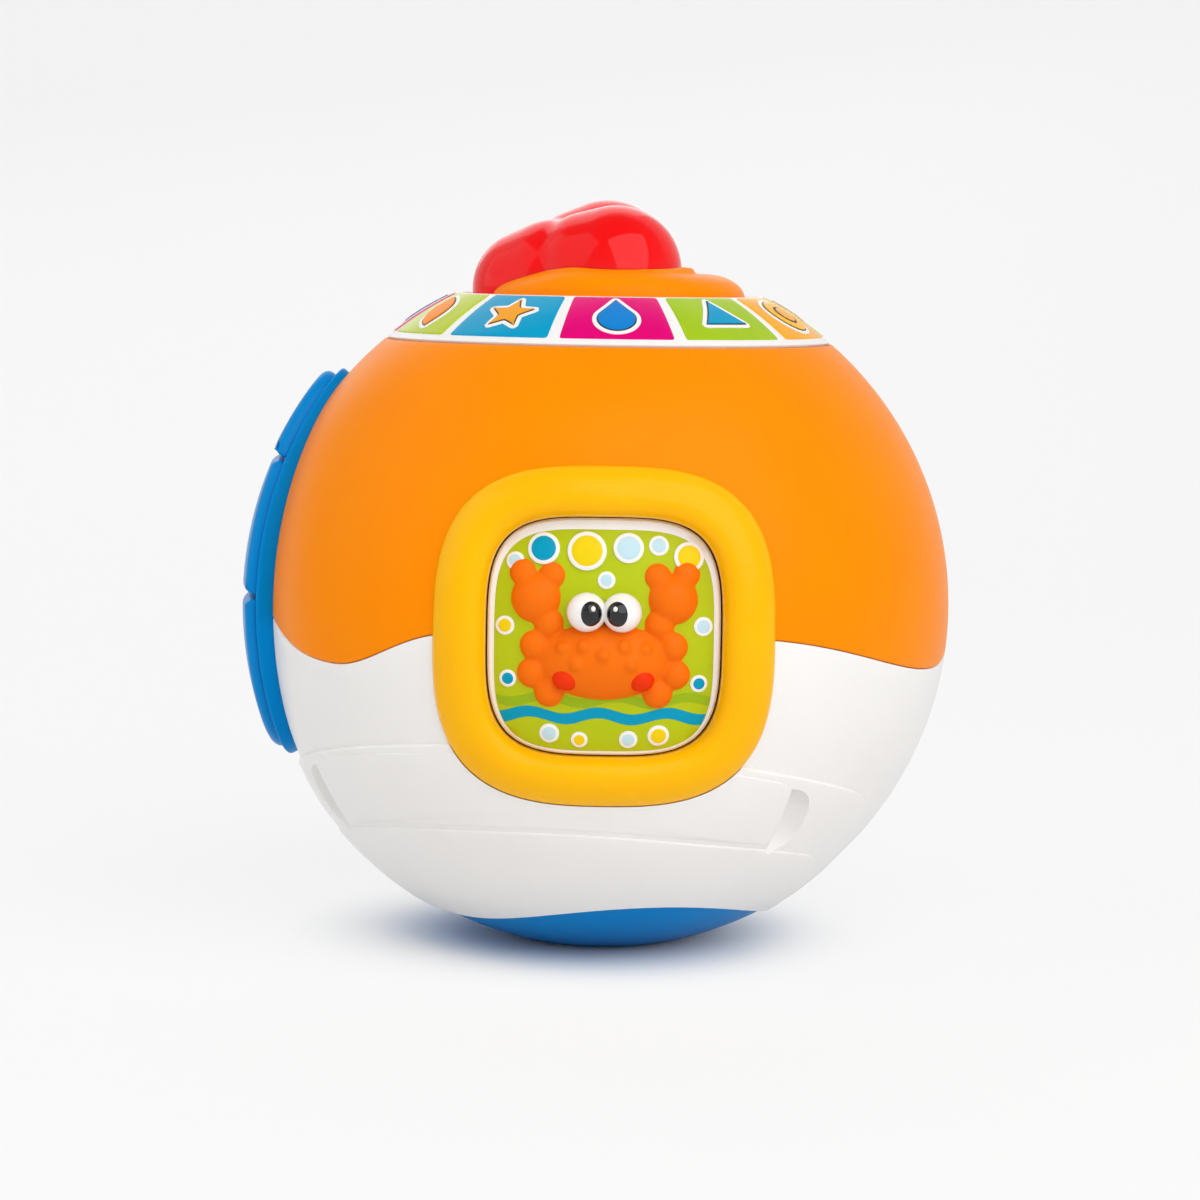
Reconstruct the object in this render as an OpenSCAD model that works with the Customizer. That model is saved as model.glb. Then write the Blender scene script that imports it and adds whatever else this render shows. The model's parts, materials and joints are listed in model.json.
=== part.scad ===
// Activity ball for babies: two snapped and screwed shells around a battery box, a lit ring with
// picture windows, a puffy three-lobed heart button on top, a framed crab panel that presses in at
// the front and three press keys on its left side. Millimetres, +Z up, front towards -Y.
// The origin is the centre of the flat foot that the ball stands on.
// Azimuth is counted from the front towards +X, latitude from the ball's equator.

/* [Ball] */
// Outer diameter of the ball
ball_d = 175; // [168:1:190]
// Wall thickness of the two shells
wall = 2.6; // [2.2:0.1:3.2]
// Diameter of the flat foot
foot_d = 42; // [36:1:50]
// Gap in the parting lines between fixed covers
parting = 0.3; // [0.2:0.05:0.5]
// Gap round parts that move
moving_gap = 0.6; // [0.45:0.05:0.8]
// Radial play of a guide pin in its bore
running_play = 0.06; // [0.04:0.01:0.1]
// Play between a flange and the shell that it lies against
seat_play = 0.05; // [0.03:0.01:0.1]

/* [Front panel] */
// Width and height of the yellow frame
frame_size = 80; // [76:1:84]
// Height of the frame's puffy band above the shell
frame_crest = 3.6; // [2.5:0.1:5]
// Width of the opening in the frame
opening_w = 53; // [49:1:56]
// Height of the opening in the frame
opening_h = 55; // [51:1:58]
// Depth of the crab panel below the shell's surface
panel_inset = 4.5; // [3.5:0.1:6]
// Travel of the crab panel
panel_travel = 2.5; // [1.5:0.1:3]

/* [Side keys] */
// How far the keys stand above the ball
key_rise = 4.6; // [3.5:0.1:6]
// Travel of a side key
key_travel = 1.6; // [1:0.1:1.8]

/* [Top] */
// Latitude of the light ring's lower edge
ring_lat_low = 50; // [48:0.5:52]
// Latitude of the light ring's upper edge
ring_lat_high = 64; // [62:0.5:66]
// Number of picture windows in the ring
window_count = 11; // [9:1:13]
// Radius of the front lobe of the heart button
lobe_r = 17; // [15:0.5:18]
// Travel of the heart button
heart_travel = 3.5; // [2:0.1:4.5]

/* [Power] */
// Cell diameter
cell_d = 14.2; // [13.5:0.1:14.5]
// Cell length
cell_l = 50.2; // [49:0.1:50.5]
// Travel of the power switch
switch_travel = 6; // [4:0.5:7]

/* [Hidden] */
$fn = 96;
fine = 240;

// Colours
orange = "#FE9101";
white = "#F0ECE6";
yellow = "#FEC001";
blue = "#0082C8";
base_blue = "#026EB1";
red = "#ED060A";
lime = "#BECD1E";
ring_blue = "#00A0C8";
magenta = "#E60078";
leaf_green = "#A9C81E";
amber = "#FAB010";
steel = "#B8BCC0";
dark = "#2A2C30";
board_green = "#1F6B3A";

// The ball
R = ball_d / 2;
inner_r = R - wall;
far = 3 * R;
foot_z = -sqrt(R * R - foot_d * foot_d / 4);
function level_r(radius, z) = sqrt(radius * radius - z * z);
function toward(az, lat) = [sin(az) * cos(lat), -cos(az) * cos(lat), sin(lat)];
module at_centre() { translate([0, 0, -foot_z]) children(); }
module face_out(az, lat) { rotate([0, 0, az]) rotate([90 - lat, 0, 0]) children(); }

// Flattened seats round the front frame and the side keys
front_az = 0;
side_az = -92;
control_az = 134;
seat_angle = 36;
seat_crease = 5;
flat_r = R * sin(seat_angle) / sin(seat_angle - seat_crease);
flat_centre = R * cos(seat_angle) - flat_r * cos(seat_angle - seat_crease);
flat_front = flat_centre + flat_r;
module behind_flat(inset) { translate([0, 0, flat_centre]) sphere(r = flat_r - inset, $fn = fine); }
module flat_ball(az, inset) { face_out(az, 0) behind_flat(inset); }
module ball_body(inset) {
    intersection() {
        sphere(r = R - inset);
        flat_ball(front_az, inset);
        flat_ball(side_az, inset);
    }
}

// Lines round the ball, as [azimuth, height] crests and dips joined by smooth waves
seam_low = -11.8;
seam_mid = -9.5;
seam_high = 0.3;
seam_line = [
    [-24, seam_high], [20, seam_high], [72, seam_low], [114, seam_high], [152, seam_high],
    [203, seam_low], [270, seam_high], [312, seam_mid], [336, seam_high]
];
line_steps = 72;
line_start = seam_line[0][0];
line_azimuths = [for (i = [0:line_steps - 1]) line_start + 360 * i / line_steps];
function wave(a, b, t) = a + (b - a) * (1 - cos(180 * t)) / 2;
function on_line(line, az) = [
    for (i = [0:len(line) - 2])
        if (az >= line[i][0] && az < line[i + 1][0])
            wave(line[i][1], line[i + 1][1], (az - line[i][0]) / (line[i + 1][0] - line[i][0]))
][0];
base_lat = -54.4;
base_wave = 3.8;
base_crest_az = 13;
function seam_lat(az, gap) = asin((on_line(seam_line, az) + gap) / R);
function arc_of(mm) = mm * 180 / (PI * R);
function base_edge_lat(az, gap) = base_lat + base_wave * cos(3 * (az - base_crest_az)) + arc_of(gap);

// Everything below a line round the ball, cut square to its surface
module below(lats) {
    reach = 1.6 * R;
    rim = [for (i = [0:line_steps - 1]) reach * toward(line_azimuths[i], lats[i])];
    last = line_steps + 1;
    faces = [
        for (i = [0:line_steps - 1])
            let (a = i + 1, b = (i + 1) % line_steps + 1)
                each [[0, b, a], [last, a, b]]
    ];
    polyhedron(concat([[0, 0, 0]], rim, [[0, 0, -far]]), faces);
}
module below_seam(gap) { below([for (az = line_azimuths) seam_lat(az, gap)]); }
module below_base(gap) { below([for (az = line_azimuths) base_edge_lat(az, gap)]); }

// A cone from the ball's centre through an outline of [azimuth, latitude] points, clockwise from outside
module sky_patch(outline, centre) {
    count = len(outline);
    rim = [for (p = outline) 1.5 * R * toward(p[0], p[1])];
    faces = [
        for (i = [0:count - 1])
            let (a = i + 1, b = (i + 1) % count + 1)
                each [[0, b, a], [count + 1, a, b]]
    ];
    polyhedron(concat([[0, 0, 0]], rim, [2.6 * R * toward(centre[0], centre[1])]), faces);
}

// Stack under the light ring, from the ring down
ring_z_low = R * sin(ring_lat_low);
ring_z_high = R * sin(ring_lat_high);
ring_wall = 2.4;
ring_leg = 2.5;
carrier_t = 2.6;
carrier_top = ring_z_low - ring_leg;
carrier_bottom = carrier_top - carrier_t;
carrier_r = level_r(inner_r, carrier_top) - moving_gap;
ledge_t = 3;
ledge_w = 6;

// Shell screw posts, set under the dips of the seam
post_az = [-47, 73, 193];
post_inset = 2.6;
post_r = carrier_r - post_inset;
post_d = 9;
post_joint_z = seam_low - 2.5;
screw_core_d = 2.6;
screw_pilot_d = 2.7;
screw_hole_d = 3.4;
screw_head_d = 6;
screw_head_h = 2;
screw_bite = 12;
module at_posts() { for (az = post_az) translate(post_r * toward(az, 0)) children(); }

// Lower floor, and the two screws and the front peg of the base cap
cap_wall = 3;
floor_t = 3;
floor_clear = 0.3;
floor_bottom = (R - cap_wall) * sin(base_lat + base_wave) + floor_clear;
floor_top = floor_bottom + floor_t;
base_screw_inset = 8.6;
base_screw_r = level_r(inner_r, floor_bottom) - base_screw_inset;
base_boss_d = 10;
base_screw_length = 11;
peg_d = 5;
peg_l = 6;
module at_base_peg() { translate(base_screw_r * toward(base_crest_az, 0)) children(); }
module at_base_screws() {
    for (turn = [120, 240]) translate(base_screw_r * toward(base_crest_az + turn, 0)) children();
}
module at_base_bosses() {
    at_base_peg() children();
    at_base_screws() children();
}

// Battery box
cell_pitch = cell_d + 1;
cell_count = 3;
contact_room = 5;
box_wall = 1.8;
box_inner_l = cell_l + contact_room;
box_inner_w = cell_pitch * cell_count;
box_inner_h = cell_d + 1.6;
box_l = box_inner_l + 2 * box_wall;
box_w = box_inner_w + 2 * box_wall;
box_flange = 4;
box_flange_t = 2;
box_top = floor_bottom + box_inner_h + box_wall;
board_post_h = 5;
board_post_d = 5;
board_l = box_l;
board_w = box_w - 4;
board_t = 1.6;
board_z = box_top + board_post_h;
sound_chip = [14, 14, 2];
sound_chip_at = [-board_l / 6, board_w / 12];
amplifier = [9, 6, 1.8];
amplifier_at = [board_l / 5, -board_w / 5];
capacitor_d = 6;
capacitor_h = 9;
capacitor_at = [board_l / 4, board_w / 4];

// Belly steps, arched bands moulded on the lower shell in front and behind
belly_az = -13.25;
belly_rise = [0.9, 1.35];
belly_top_lat = [-17, -32.4];
belly_drop = [17.3, 13.5];
belly_half = [79, 74];
belly_low_lat = -64;
belly_steps = 20;
belly_corner = 14;
function belly_edge(k, d) = belly_top_lat[k] - belly_drop[k] * (1 - cos(d));
function belly_round(k, d) =
    let (over = max(0, abs(d) - belly_half[k] + belly_corner))
        belly_corner * (1 - sqrt(max(0, 1 - over * over / (belly_corner * belly_corner))));
function belly_outline(k, az) = concat(
    [
        for (i = [0:belly_steps])
            let (d = belly_half[k] * sin(90 * (2 * i / belly_steps - 1)))
                [az + d, belly_edge(k, d) - belly_round(k, d)]
    ],
    [[az + belly_half[k], belly_low_lat], [az, belly_low_lat - 6], [az - belly_half[k], belly_low_lat]]
);
module belly_patch(k, az) { sky_patch(belly_outline(k, az), [az, belly_top_lat[1]]); }

// Finger scoops in the belly steps
scoop_d = 47.5;
scoop_lat = -31;
scoop_depth = 4;
scoop_width = 7.5;
scoop_height = 19;
scoop_r = (scoop_width * scoop_width / scoop_depth + scoop_depth) / 2;
scoop_straight = scoop_height - 2 * scoop_width;
module scoop_form(side, grow, back) {
    mirror([side < 0 ? 1 : 0, 0, 0])
        intersection() {
            translate([0, 0, R + scoop_r - scoop_depth])
                union() {
                    rotate([90, 0, 0]) cylinder(r = scoop_r + grow, h = scoop_straight, center = true);
                    for (y = [-1, 1]) translate([0, y * scoop_straight / 2, 0]) sphere(r = scoop_r + grow);
                }
            translate([-back, -R / 2, R / 2]) cube([R, R, R]);
        }
}
module scoops(grow, back) {
    for (half = [0, 180], side = [-1, 1])
        face_out(belly_az + half + side * scoop_d, scoop_lat) scoop_form(side, grow, back);
}

// Front frame: a superellipse band with a puffy section, dropped into a window in the shells
frame_steps = 64;
frame_power = 3;
opening_power = 4;
crest_place = 0.45;
frame_lip = 2.6;
frame_flange = 4;
frame_flange_t = 2;
neck_wall = 2;
neck_tuck = 0.9;
panel_t = 3;
panel_spring_room = 10;
neck_depth = panel_inset + panel_t + panel_travel + panel_spring_room;
function sign_power(v, p) = sign(v) * pow(abs(v), 2 / p);
function squircle(half_w, half_h, p, t) = [half_w * sign_power(cos(t), p), half_h * sign_power(sin(t), p)];
function squircle_points(half_w, half_h, p) = [
    for (i = [0:frame_steps - 1]) squircle(half_w, half_h, p, 360 * i / frame_steps)
];
function flat_level(p) = flat_centre + sqrt(flat_r * flat_r - p[0] * p[0] - p[1] * p[1]);
// Section of the band as [place from outer to inner edge, height above the shell]
function band_section(round_steps) = concat(
    [
        for (i = [0:round_steps])
            let (a = 90 * i / round_steps) [crest_place * (1 - cos(a)), frame_crest * sin(a)]
    ],
    [
        for (i = [1:round_steps])
            let (a = 90 * i / round_steps)
                [crest_place + (1 - crest_place) * sin(a), (frame_crest + frame_lip) * cos(a) - frame_lip]
    ]
);
frame_depth = wall + frame_flange_t / 2;
opening_corner = squircle(opening_w / 2, opening_h / 2, opening_power, 45);
neck_top = flat_level(opening_corner) - frame_lip - neck_tuck;
module frame_band() {
    section = band_section(5);
    rows = len(section) + 2;
    ring = [
        for (i = [0:frame_steps - 1])
            let (
                t = 360 * i / frame_steps,
                outer = squircle(frame_size / 2, frame_size / 2, frame_power, t),
                inner = squircle(opening_w / 2, opening_h / 2, opening_power, t)
            )
                each concat(
                    [[outer[0], outer[1], flat_level(outer) - frame_depth]],
                    [
                        for (s = section)
                            let (p = outer + (inner - outer) * s[0]) [p[0], p[1], flat_level(p) + s[1]]
                    ],
                    [[inner[0], inner[1], flat_level(inner) - frame_depth - frame_lip]]
                )
    ];
    faces = [
        for (i = [0:frame_steps - 1], k = [0:rows - 1])
            let (
                n = (i + 1) % frame_steps,
                m = (k + 1) % rows,
                a = i * rows + k,
                b = n * rows + k,
                c = n * rows + m,
                d = i * rows + m
            )
                each [[a, c, b], [a, d, c]]
    ];
    polyhedron(ring, faces);
}
module prism(half_w, half_h, p, from, to) {
    translate([0, 0, from]) linear_extrude(to - from) polygon(squircle_points(half_w, half_h, p));
}
module neck_outline(from, to) {
    prism(opening_w / 2 + neck_wall, opening_h / 2 + neck_wall, opening_power, from, to);
}
module front_window(gap) {
    face_out(front_az, 0) prism(frame_size / 2 + gap, frame_size / 2 + gap, frame_power, R / 2, far);
}

// Crab panel
panel_stem_d = 8;
panel_back_t = 2.5;
panel_boss_d = 14;
panel_boss_h = 8;
neck_back = flat_front - neck_depth;
panel_stem_end = neck_back - panel_back_t - panel_boss_h;
panel_level = flat_front - panel_inset;
module panel_outline(from, to) {
    prism(opening_w / 2 - moving_gap, opening_h / 2 - moving_gap, opening_power, from, to);
}
module behind_panel() { behind_flat(panel_inset); }
function panel_height(x, y) = flat_centre + sqrt(pow(flat_r - panel_inset, 2) - x * x - y * y);
module bead(p, r, sink) { translate([p[0], p[1], panel_height(p[0], p[1]) - sink * r]) sphere(r = r); }

// Crab: [x, y] on the panel
body_half = 17;
body_r = 10.5;
body_y = -5;
body_sink = 4.6;
claw = [15.5, 9];
claw_r = 6.5;
pincer_tips = [[-3.4, 5.2], [3.2, 5.8]];
pincer_r = 3.7;
arm = [12.6, 3.4];
arm_r = 4.2;
legs = [[16.2, -2], [16.8, -8.4], [12.6, -13]];
leg_r = 3.6;
eye = [4.1, 6.4];
eye_r = 4.6;
pupil_r = 2.5;
pupil = [3.4, 6.4];
pupil_proud = 0.5;
cheek = [8.6, -9.2];
cheek_r = 3.3;
shell_bumps = [[-4.6, -1.6], [0, -3.4], [4.6, -1.6]];
bump_r = 1.9;
eye_lift = 3.2;
cheek_lift = 2;
module both_sides(p, r, lift) {
    for (side = [-1, 1])
        translate([side * p[0], p[1], panel_height(p[0], p[1]) + lift]) sphere(r = r);
}
module egg_body() {
    rotate_extrude()
        polygon(concat(
            [[0, -body_half]],
            [for (a = [-75:15:75]) [body_r * cos(a), body_half * sin(a)]],
            [[0, body_half]]
        ));
}
module eye_balls() { both_sides(eye, eye_r, eye_lift); }
module pupil_balls() { both_sides(pupil, pupil_r, eye_lift + eye_r - pupil_r + pupil_proud); }
module cheek_balls() { both_sides(cheek, cheek_r, cheek_lift); }

// Side keys: an egg-shaped seat on the left, cut into three keys
egg_lat = 7.2;
egg_half_h = 34;
egg_half_w = 17;
egg_taper = 0.25;
egg_steps = 48;
key_depth = 4;
key_spring_room = 1.4;
seat_rise = 2.2;
seat_floor = 3;
seat_depth = key_depth + key_travel + key_spring_room + seat_floor;
seat_floor_r = R - seat_depth + seat_floor;
seat_rim = 1.9;
seat_flange = 4;
seat_flange_t = 2;
key_gap = 0.9;
key_pin_d = 5;
key_pin_l = 9;
key_cuts = [1.5, 24.3];
key_top_extra = 0.8;
key_lats = [33.5, 13, -12.5];
function egg(grow) = [
    for (i = [0:egg_steps - 1])
        let (
            t = -360 * i / egg_steps,
            lat = egg_lat + (egg_half_h + grow) * sin(t),
            arc = (egg_half_w + grow) * cos(t) * (1 - egg_taper * sin(t))
        )
            [side_az + arc / cos(lat), lat]
];
module egg_patch(grow) { sky_patch(egg(grow), [side_az, egg_lat]); }
module lat_wedge(low, high) {
    intersection() {
        face_out(side_az, low) translate([-R, 0, 0]) cube([2 * R, far, 2 * R]);
        face_out(side_az, high) translate([-R, -far, 0]) cube([2 * R, far, 2 * R]);
    }
}

// Heart button: two lobes, each blended into the tail, as [x, y, radius, height of the equator]
well_inset = 1;
well_r = R * cos(ring_lat_high) - well_inset;
cap_gap = 3.4;
cap_r = well_r - cap_gap;
cap_shift = cap_gap - 0.7;
cap_shoulder = 10;
cap_rise = 6.6;
cap_t = 2.2;
cap_top = ring_z_high + cap_rise;
cap_lip = 1;
cap_lip_w = 2.2;
cap_brim_drop = 1;
leg_t = 2;
lobe_top = cap_top + cap_lip;
lobe_inset = 8.6;
lobe_y = cap_r - lobe_r - lobe_inset;
lobes = [[1.7, -lobe_y, lobe_r, lobe_top - 2.6], [1.2, lobe_y, lobe_r - 0.4, lobe_top - 0.35]];
tail_r = lobe_r - 2.4;
tail_turn = 173;
tail_inset = 2.7;
tail_reach = well_r - tail_r - tail_inset;
tail_drop = 6.2;
tail = [tail_reach * cos(tail_turn), tail_reach * sin(tail_turn), tail_r, lobe_top - tail_drop];
blend_fn = 40;
heart_bottom = cap_top - 10;
heart_flange = 1.5;
heart_flange_t = 2;
heart_flange_z = cap_top - cap_t - heart_flange_t - 1.5;
heart_flange_r = cap_r - cap_shoulder + 3;
stem_d = 12;
guide_d = 18;
guide_l = 16;
stem_out = 2;
stem_bottom = carrier_top - guide_l - stem_out;
switch_base = 12;
switch_h = 4;
plunger_d = 4;
plunger_h = 1.6;
switch_shelf_t = 2;
shelf_top = stem_bottom - heart_travel - moving_gap - plunger_h - switch_h;
module heart_column(grow, from, to) {
    translate([0, 0, from])
        linear_extrude(to - from)
            for (lobe = lobes)
                hull()
                    for (end = [lobe, tail])
                        translate([end[0], end[1]]) circle(r = end[2] + grow, $fn = blend_fn);
}
module heart_half(lobe) {
    hull()
        for (end = [lobe, tail])
            translate([end[0], end[1], heart_bottom]) {
                cylinder(r = end[2], h = end[3] - heart_bottom, $fn = blend_fn);
                translate([0, 0, end[3] - heart_bottom]) sphere(r = end[2], $fn = blend_fn);
            }
}

// Ring windows
window_az = 2.2;
window_pitch = 360 / window_count;
window_bar = 2.6;
window_low = ring_lat_low + 1.7;
window_high = ring_lat_high - 0.9;
window_lat = (window_low + window_high) / 2;
tile_depth = 1.2;
tile_proud = 0.2;
tile_play = 0.06;
icon_rise = 0.7;
icon_size = 13;
drop_steps = 36;
tile_kinds = 5;
window_turn = window_count - 2;
function window_kind(i) =
    i >= window_turn ? i - window_turn : i == window_turn - 1 ? 2 : (i + 2) % tile_kinds;
function windows_of(kind) = [for (i = [0:window_count - 1]) if (window_kind(i) == kind) i];
led_d = 5;
led_h = 4;
led_room_r = level_r(R - ring_wall, ring_z_low) - leg_t - 0.8;
led_board_r = [well_r + leg_t + 0.6, led_room_r - 0.4];
function window_centre(i) = window_az + i * window_pitch;
// A block of the ring between two radii, over one window's width and height
module ring_block(i, low_r, high_r, play) {
    width = window_pitch - arc_of(window_bar) / cos(window_lat) - 2 * arc_of(play) / cos(window_lat);
    lats = [window_low + arc_of(play), window_high - arc_of(play)];
    rotate([0, 0, window_centre(i) - width / 2 - 90])
        rotate_extrude(angle = width)
            intersection() {
                difference() {
                    circle(r = high_r);
                    circle(r = low_r);
                }
                polygon([
                    [0, 0],
                    2 * R * [cos(lats[0]), sin(lats[0])],
                    2 * R * [cos(lats[1]), sin(lats[1])]
                ]);
            }
}
module tiles(kind) {
    for (i = windows_of(kind)) ring_block(i, R - tile_depth, R + tile_proud, tile_play);
}
module on_tiles(kind) {
    intersection() {
        for (i = windows_of(kind))
            face_out(window_centre(i), window_lat) translate([0, 0, R / 2]) linear_extrude(R) children();
        difference() {
            sphere(r = R + tile_proud + icon_rise);
            sphere(r = R + tile_proud);
        }
    }
}

// Speaker behind its grille, and the power switch below it
speaker_lat = 24;
speaker_d = 40;
speaker_depth = 17;
speaker_rim_t = 1.6;
grille_hole = 3;
grille_pitch = 5.4;
speaker_level = level_r(inner_r, speaker_d / 2);
switch_lat = -11;
switch_pocket = [26, 12];
switch_floor = 2.6;
switch_sunk = 2.4;
switch_level = R - switch_sunk;
knob = [9, 7.5];
knob_rise = 1.6;
switch_stem = 3.4;
switch_slot = [switch_travel + switch_stem + 2 * moving_gap, switch_stem + 2 * moving_gap];
switch_case = [22, 10, 7];
switch_tip = 3.5;

// A coil spring along +Z, as one swept tube
spring_play = 0.3;
coil_sides = 6;
coil_rings = 12;
module coil(radius, wire_d, length, turns) {
    count = turns * coil_rings;
    rise = (length - wire_d) / count;
    points = [
        for (i = [0:count], k = [0:coil_sides - 1])
            let (a = 360 * i / coil_rings, b = 360 * k / coil_sides, r = radius + wire_d / 2 * cos(b))
                [r * cos(a), r * sin(a), wire_d / 2 + rise * i + wire_d / 2 * sin(b)]
    ];
    sides = [
        for (i = [0:count - 1], k = [0:coil_sides - 1])
            let (m = (k + 1) % coil_sides, a = i * coil_sides, b = a + coil_sides)
                each [[a + k, a + m, b + m], [a + k, b + m, b + k]]
    ];
    start_cap = [[for (k = [coil_sides - 1:-1:0]) k]];
    end_cap = [[for (k = [0:coil_sides - 1]) count * coil_sides + k]];
    polyhedron(points, concat(sides, start_cap, end_cap));
}

// Shells
module upper_shell() color(orange) at_centre() {
    difference() {
        union() {
            difference() {
                ball_body(0);
                ball_body(wall);
            }
            intersection() {
                ball_body(wall / 2);
                union() {
                    translate([0, 0, carrier_bottom - ledge_t])
                        difference() {
                            cylinder(r = R, h = ledge_t);
                            cylinder(r = carrier_r - ledge_w, h = ledge_t);
                        }
                    at_posts() translate([0, 0, post_joint_z])
                        cylinder(d = post_d, h = carrier_bottom - ledge_t / 2 - post_joint_z);
                    face_out(control_az, speaker_lat)
                        translate([0, 0, speaker_level - speaker_depth / 2])
                            difference() {
                                cylinder(d = speaker_d + 2 * wall, h = R);
                                cylinder(d = speaker_d + 2 * parting, h = R);
                            }
                }
            }
        }
        difference() {
            below_seam(parting / 2);
            at_posts() translate([0, 0, post_joint_z]) cylinder(d = post_d, h = R);
        }
        translate([0, 0, ring_z_low]) cylinder(r = R, h = R);
        front_window(parting);
        egg_patch(arc_of(parting));
        at_posts() translate([0, 0, post_joint_z]) cylinder(d = screw_pilot_d, h = screw_bite + 2);
        face_out(control_az, speaker_lat)
            translate([0, 0, speaker_level]) {
                cylinder(d = grille_hole, h = R);
                for (ring = [1, 2], i = [0:6 * ring - 1])
                    rotate(60 * i / ring)
                        translate([grille_pitch * ring, 0, 0]) cylinder(d = grille_hole, h = R);
            }
    }
}

module lower_shell() color(white) at_centre() {
    difference() {
        union() {
            intersection() {
                difference() {
                    union() {
                        ball_body(0);
                        for (half = [0, 180], k = [0, 1])
                            intersection() {
                                sphere(r = R + belly_rise[k]);
                                belly_patch(k, belly_az + half);
                            }
                    }
                    ball_body(wall);
                    below_base(parting / 2);
                }
                below_seam(-parting / 2);
            }
            intersection() {
                ball_body(wall / 2);
                union() {
                    translate([0, 0, floor_bottom]) cylinder(r = R, h = floor_t);
                    at_posts() translate([0, 0, floor_bottom])
                        cylinder(d = post_d, h = post_joint_z - floor_bottom);
                    at_base_bosses() translate([0, 0, floor_bottom])
                        cylinder(d = base_boss_d, h = base_screw_length);
                    scoops(wall, wall);
                    face_out(control_az, switch_lat)
                        translate([0, 0, switch_level - switch_floor])
                            linear_extrude(R) square(switch_pocket + [2 * wall, 2 * wall], center = true);
                }
            }
        }
        front_window(parting);
        egg_patch(arc_of(parting));
        scoops(0, 0);
        translate([0, 0, floor_bottom - 1])
            linear_extrude(floor_t + 2) square([box_l + 2 * parting, box_w + 2 * parting], center = true);
        at_posts() {
            translate([0, 0, floor_bottom - 1]) cylinder(d = screw_hole_d, h = R);
            translate([0, 0, floor_bottom - 1]) cylinder(d = screw_head_d + 1, h = 1 + floor_t);
        }
        at_base_screws()
            translate([0, 0, floor_bottom - 1]) cylinder(d = screw_pilot_d, h = base_screw_length);
        at_base_peg() translate([0, 0, floor_bottom - 1]) cylinder(d = peg_d + 2 * parting, h = peg_l + 2);
        face_out(control_az, switch_lat) {
            translate([0, 0, switch_level]) linear_extrude(R) square(switch_pocket, center = true);
            linear_extrude(R) square(switch_slot, center = true);
        }
    }
}

module base_bosses() {
    at_base_bosses() translate([0, 0, -R]) cylinder(d = base_boss_d, h = R + floor_bottom);
    at_base_peg() translate([0, 0, -R]) cylinder(d = peg_d, h = R + floor_bottom + peg_l);
}
module base_cap() color(base_blue) at_centre() {
    difference() {
        union() {
            difference() {
                ball_body(0);
                intersection() {
                    ball_body(cap_wall);
                    translate([-R, -R, foot_z + cap_wall]) cube(2 * R);
                }
            }
            intersection() {
                ball_body(cap_wall / 2);
                base_bosses();
            }
        }
        difference() {
            sphere(r = far / 2);
            union() {
                below_base(-parting / 2);
                base_bosses();
            }
        }
        translate([-R, -R, foot_z - R]) cube([2 * R, 2 * R, R]);
        at_base_screws() translate([0, 0, -R]) {
            cylinder(d = screw_hole_d, h = R);
            cylinder(d = screw_head_d + 1, h = R + floor_bottom - cap_wall);
        }
    }
}

module pan_screw(length) {
    cylinder(d = screw_core_d, h = length);
    translate([0, 0, -screw_head_h])
        difference() {
            cylinder(d = screw_head_d, h = screw_head_h);
            for (turn = [0, 90]) rotate(turn) translate([-1.6, -0.4, -0.1]) cube([3.2, 0.8, 1.1]);
        }
}
module base_screws() color(steel) at_centre()
    at_base_screws() translate([0, 0, floor_bottom - cap_wall]) pan_screw(base_screw_length);
module shell_screws() color(steel) at_centre()
    at_posts() translate([0, 0, floor_top]) pan_screw(post_joint_z - floor_top + screw_bite);

// Light ring
module ring_frame() color(white) at_centre() {
    difference() {
        union() {
            difference() {
                sphere(r = R);
                sphere(r = R - ring_wall);
                translate([0, 0, ring_z_low + parting - far]) cylinder(r = R, h = far);
            }
            intersection() {
                sphere(r = R - ring_wall / 2);
                for (r = [well_r + leg_t, led_room_r + leg_t])
                    translate([0, 0, carrier_top])
                        difference() {
                            cylinder(r = r, h = R);
                            translate([0, 0, -1]) cylinder(r = r - leg_t, h = R);
                        }
            }
        }
        translate([0, 0, ring_z_high]) cylinder(r = R, h = R);
        cylinder(r = well_r, h = R);
        intersection() {
            difference() {
                cylinder(r = led_room_r, h = R);
                cylinder(r = well_r + leg_t, h = R);
            }
            sphere(r = R - ring_wall);
        }
        for (i = [0:window_count - 1]) ring_block(i, R - tile_depth, R + 1, 0);
    }
}
module tiles_lime() color(lime) at_centre() tiles(0);
module tiles_blue() color(ring_blue) at_centre() tiles(1);
module tiles_magenta() color(magenta) at_centre() tiles(2);
module tiles_green() color(leaf_green) at_centre() tiles(3);
module tiles_yellow() color(amber) at_centre() tiles(4);

module leaf_icons() color(orange) at_centre() on_tiles(0)
    rotate(25)
        intersection() {
            leaf_r = icon_size * 0.66;
            translate([-leaf_r / 2, 0]) circle(r = leaf_r);
            translate([leaf_r / 2, 0]) circle(r = leaf_r);
        }
module star_icons() color(amber) at_centre() on_tiles(1)
    polygon([
        for (i = [0:9])
            let (r = i % 2 == 0 ? icon_size / 2 : icon_size / 4.2) r * [sin(36 * i), cos(36 * i)]
    ]);
module drop_icons() color(blue) at_centre() on_tiles(2)
    translate([0, -icon_size * 0.12]) {
        drop_r = icon_size * 0.38;
        tip = icon_size * 0.68;
        touch = acos(drop_r / tip);
        polygon(concat(
            [[0, tip]],
            [
                for (i = [0:drop_steps])
                    let (a = touch + (360 - 2 * touch) * i / drop_steps) drop_r * [sin(a), cos(a)]
            ]
        ));
    }
module triangle_icons() color(ring_blue) at_centre() on_tiles(3)
    polygon([for (i = [0:2]) icon_size * 0.56 * [sin(120 * i), cos(120 * i)]]);
module hoop_icons() color(yellow) at_centre() on_tiles(4)
    difference() {
        circle(d = icon_size);
        circle(d = icon_size * 0.55);
    }

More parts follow.
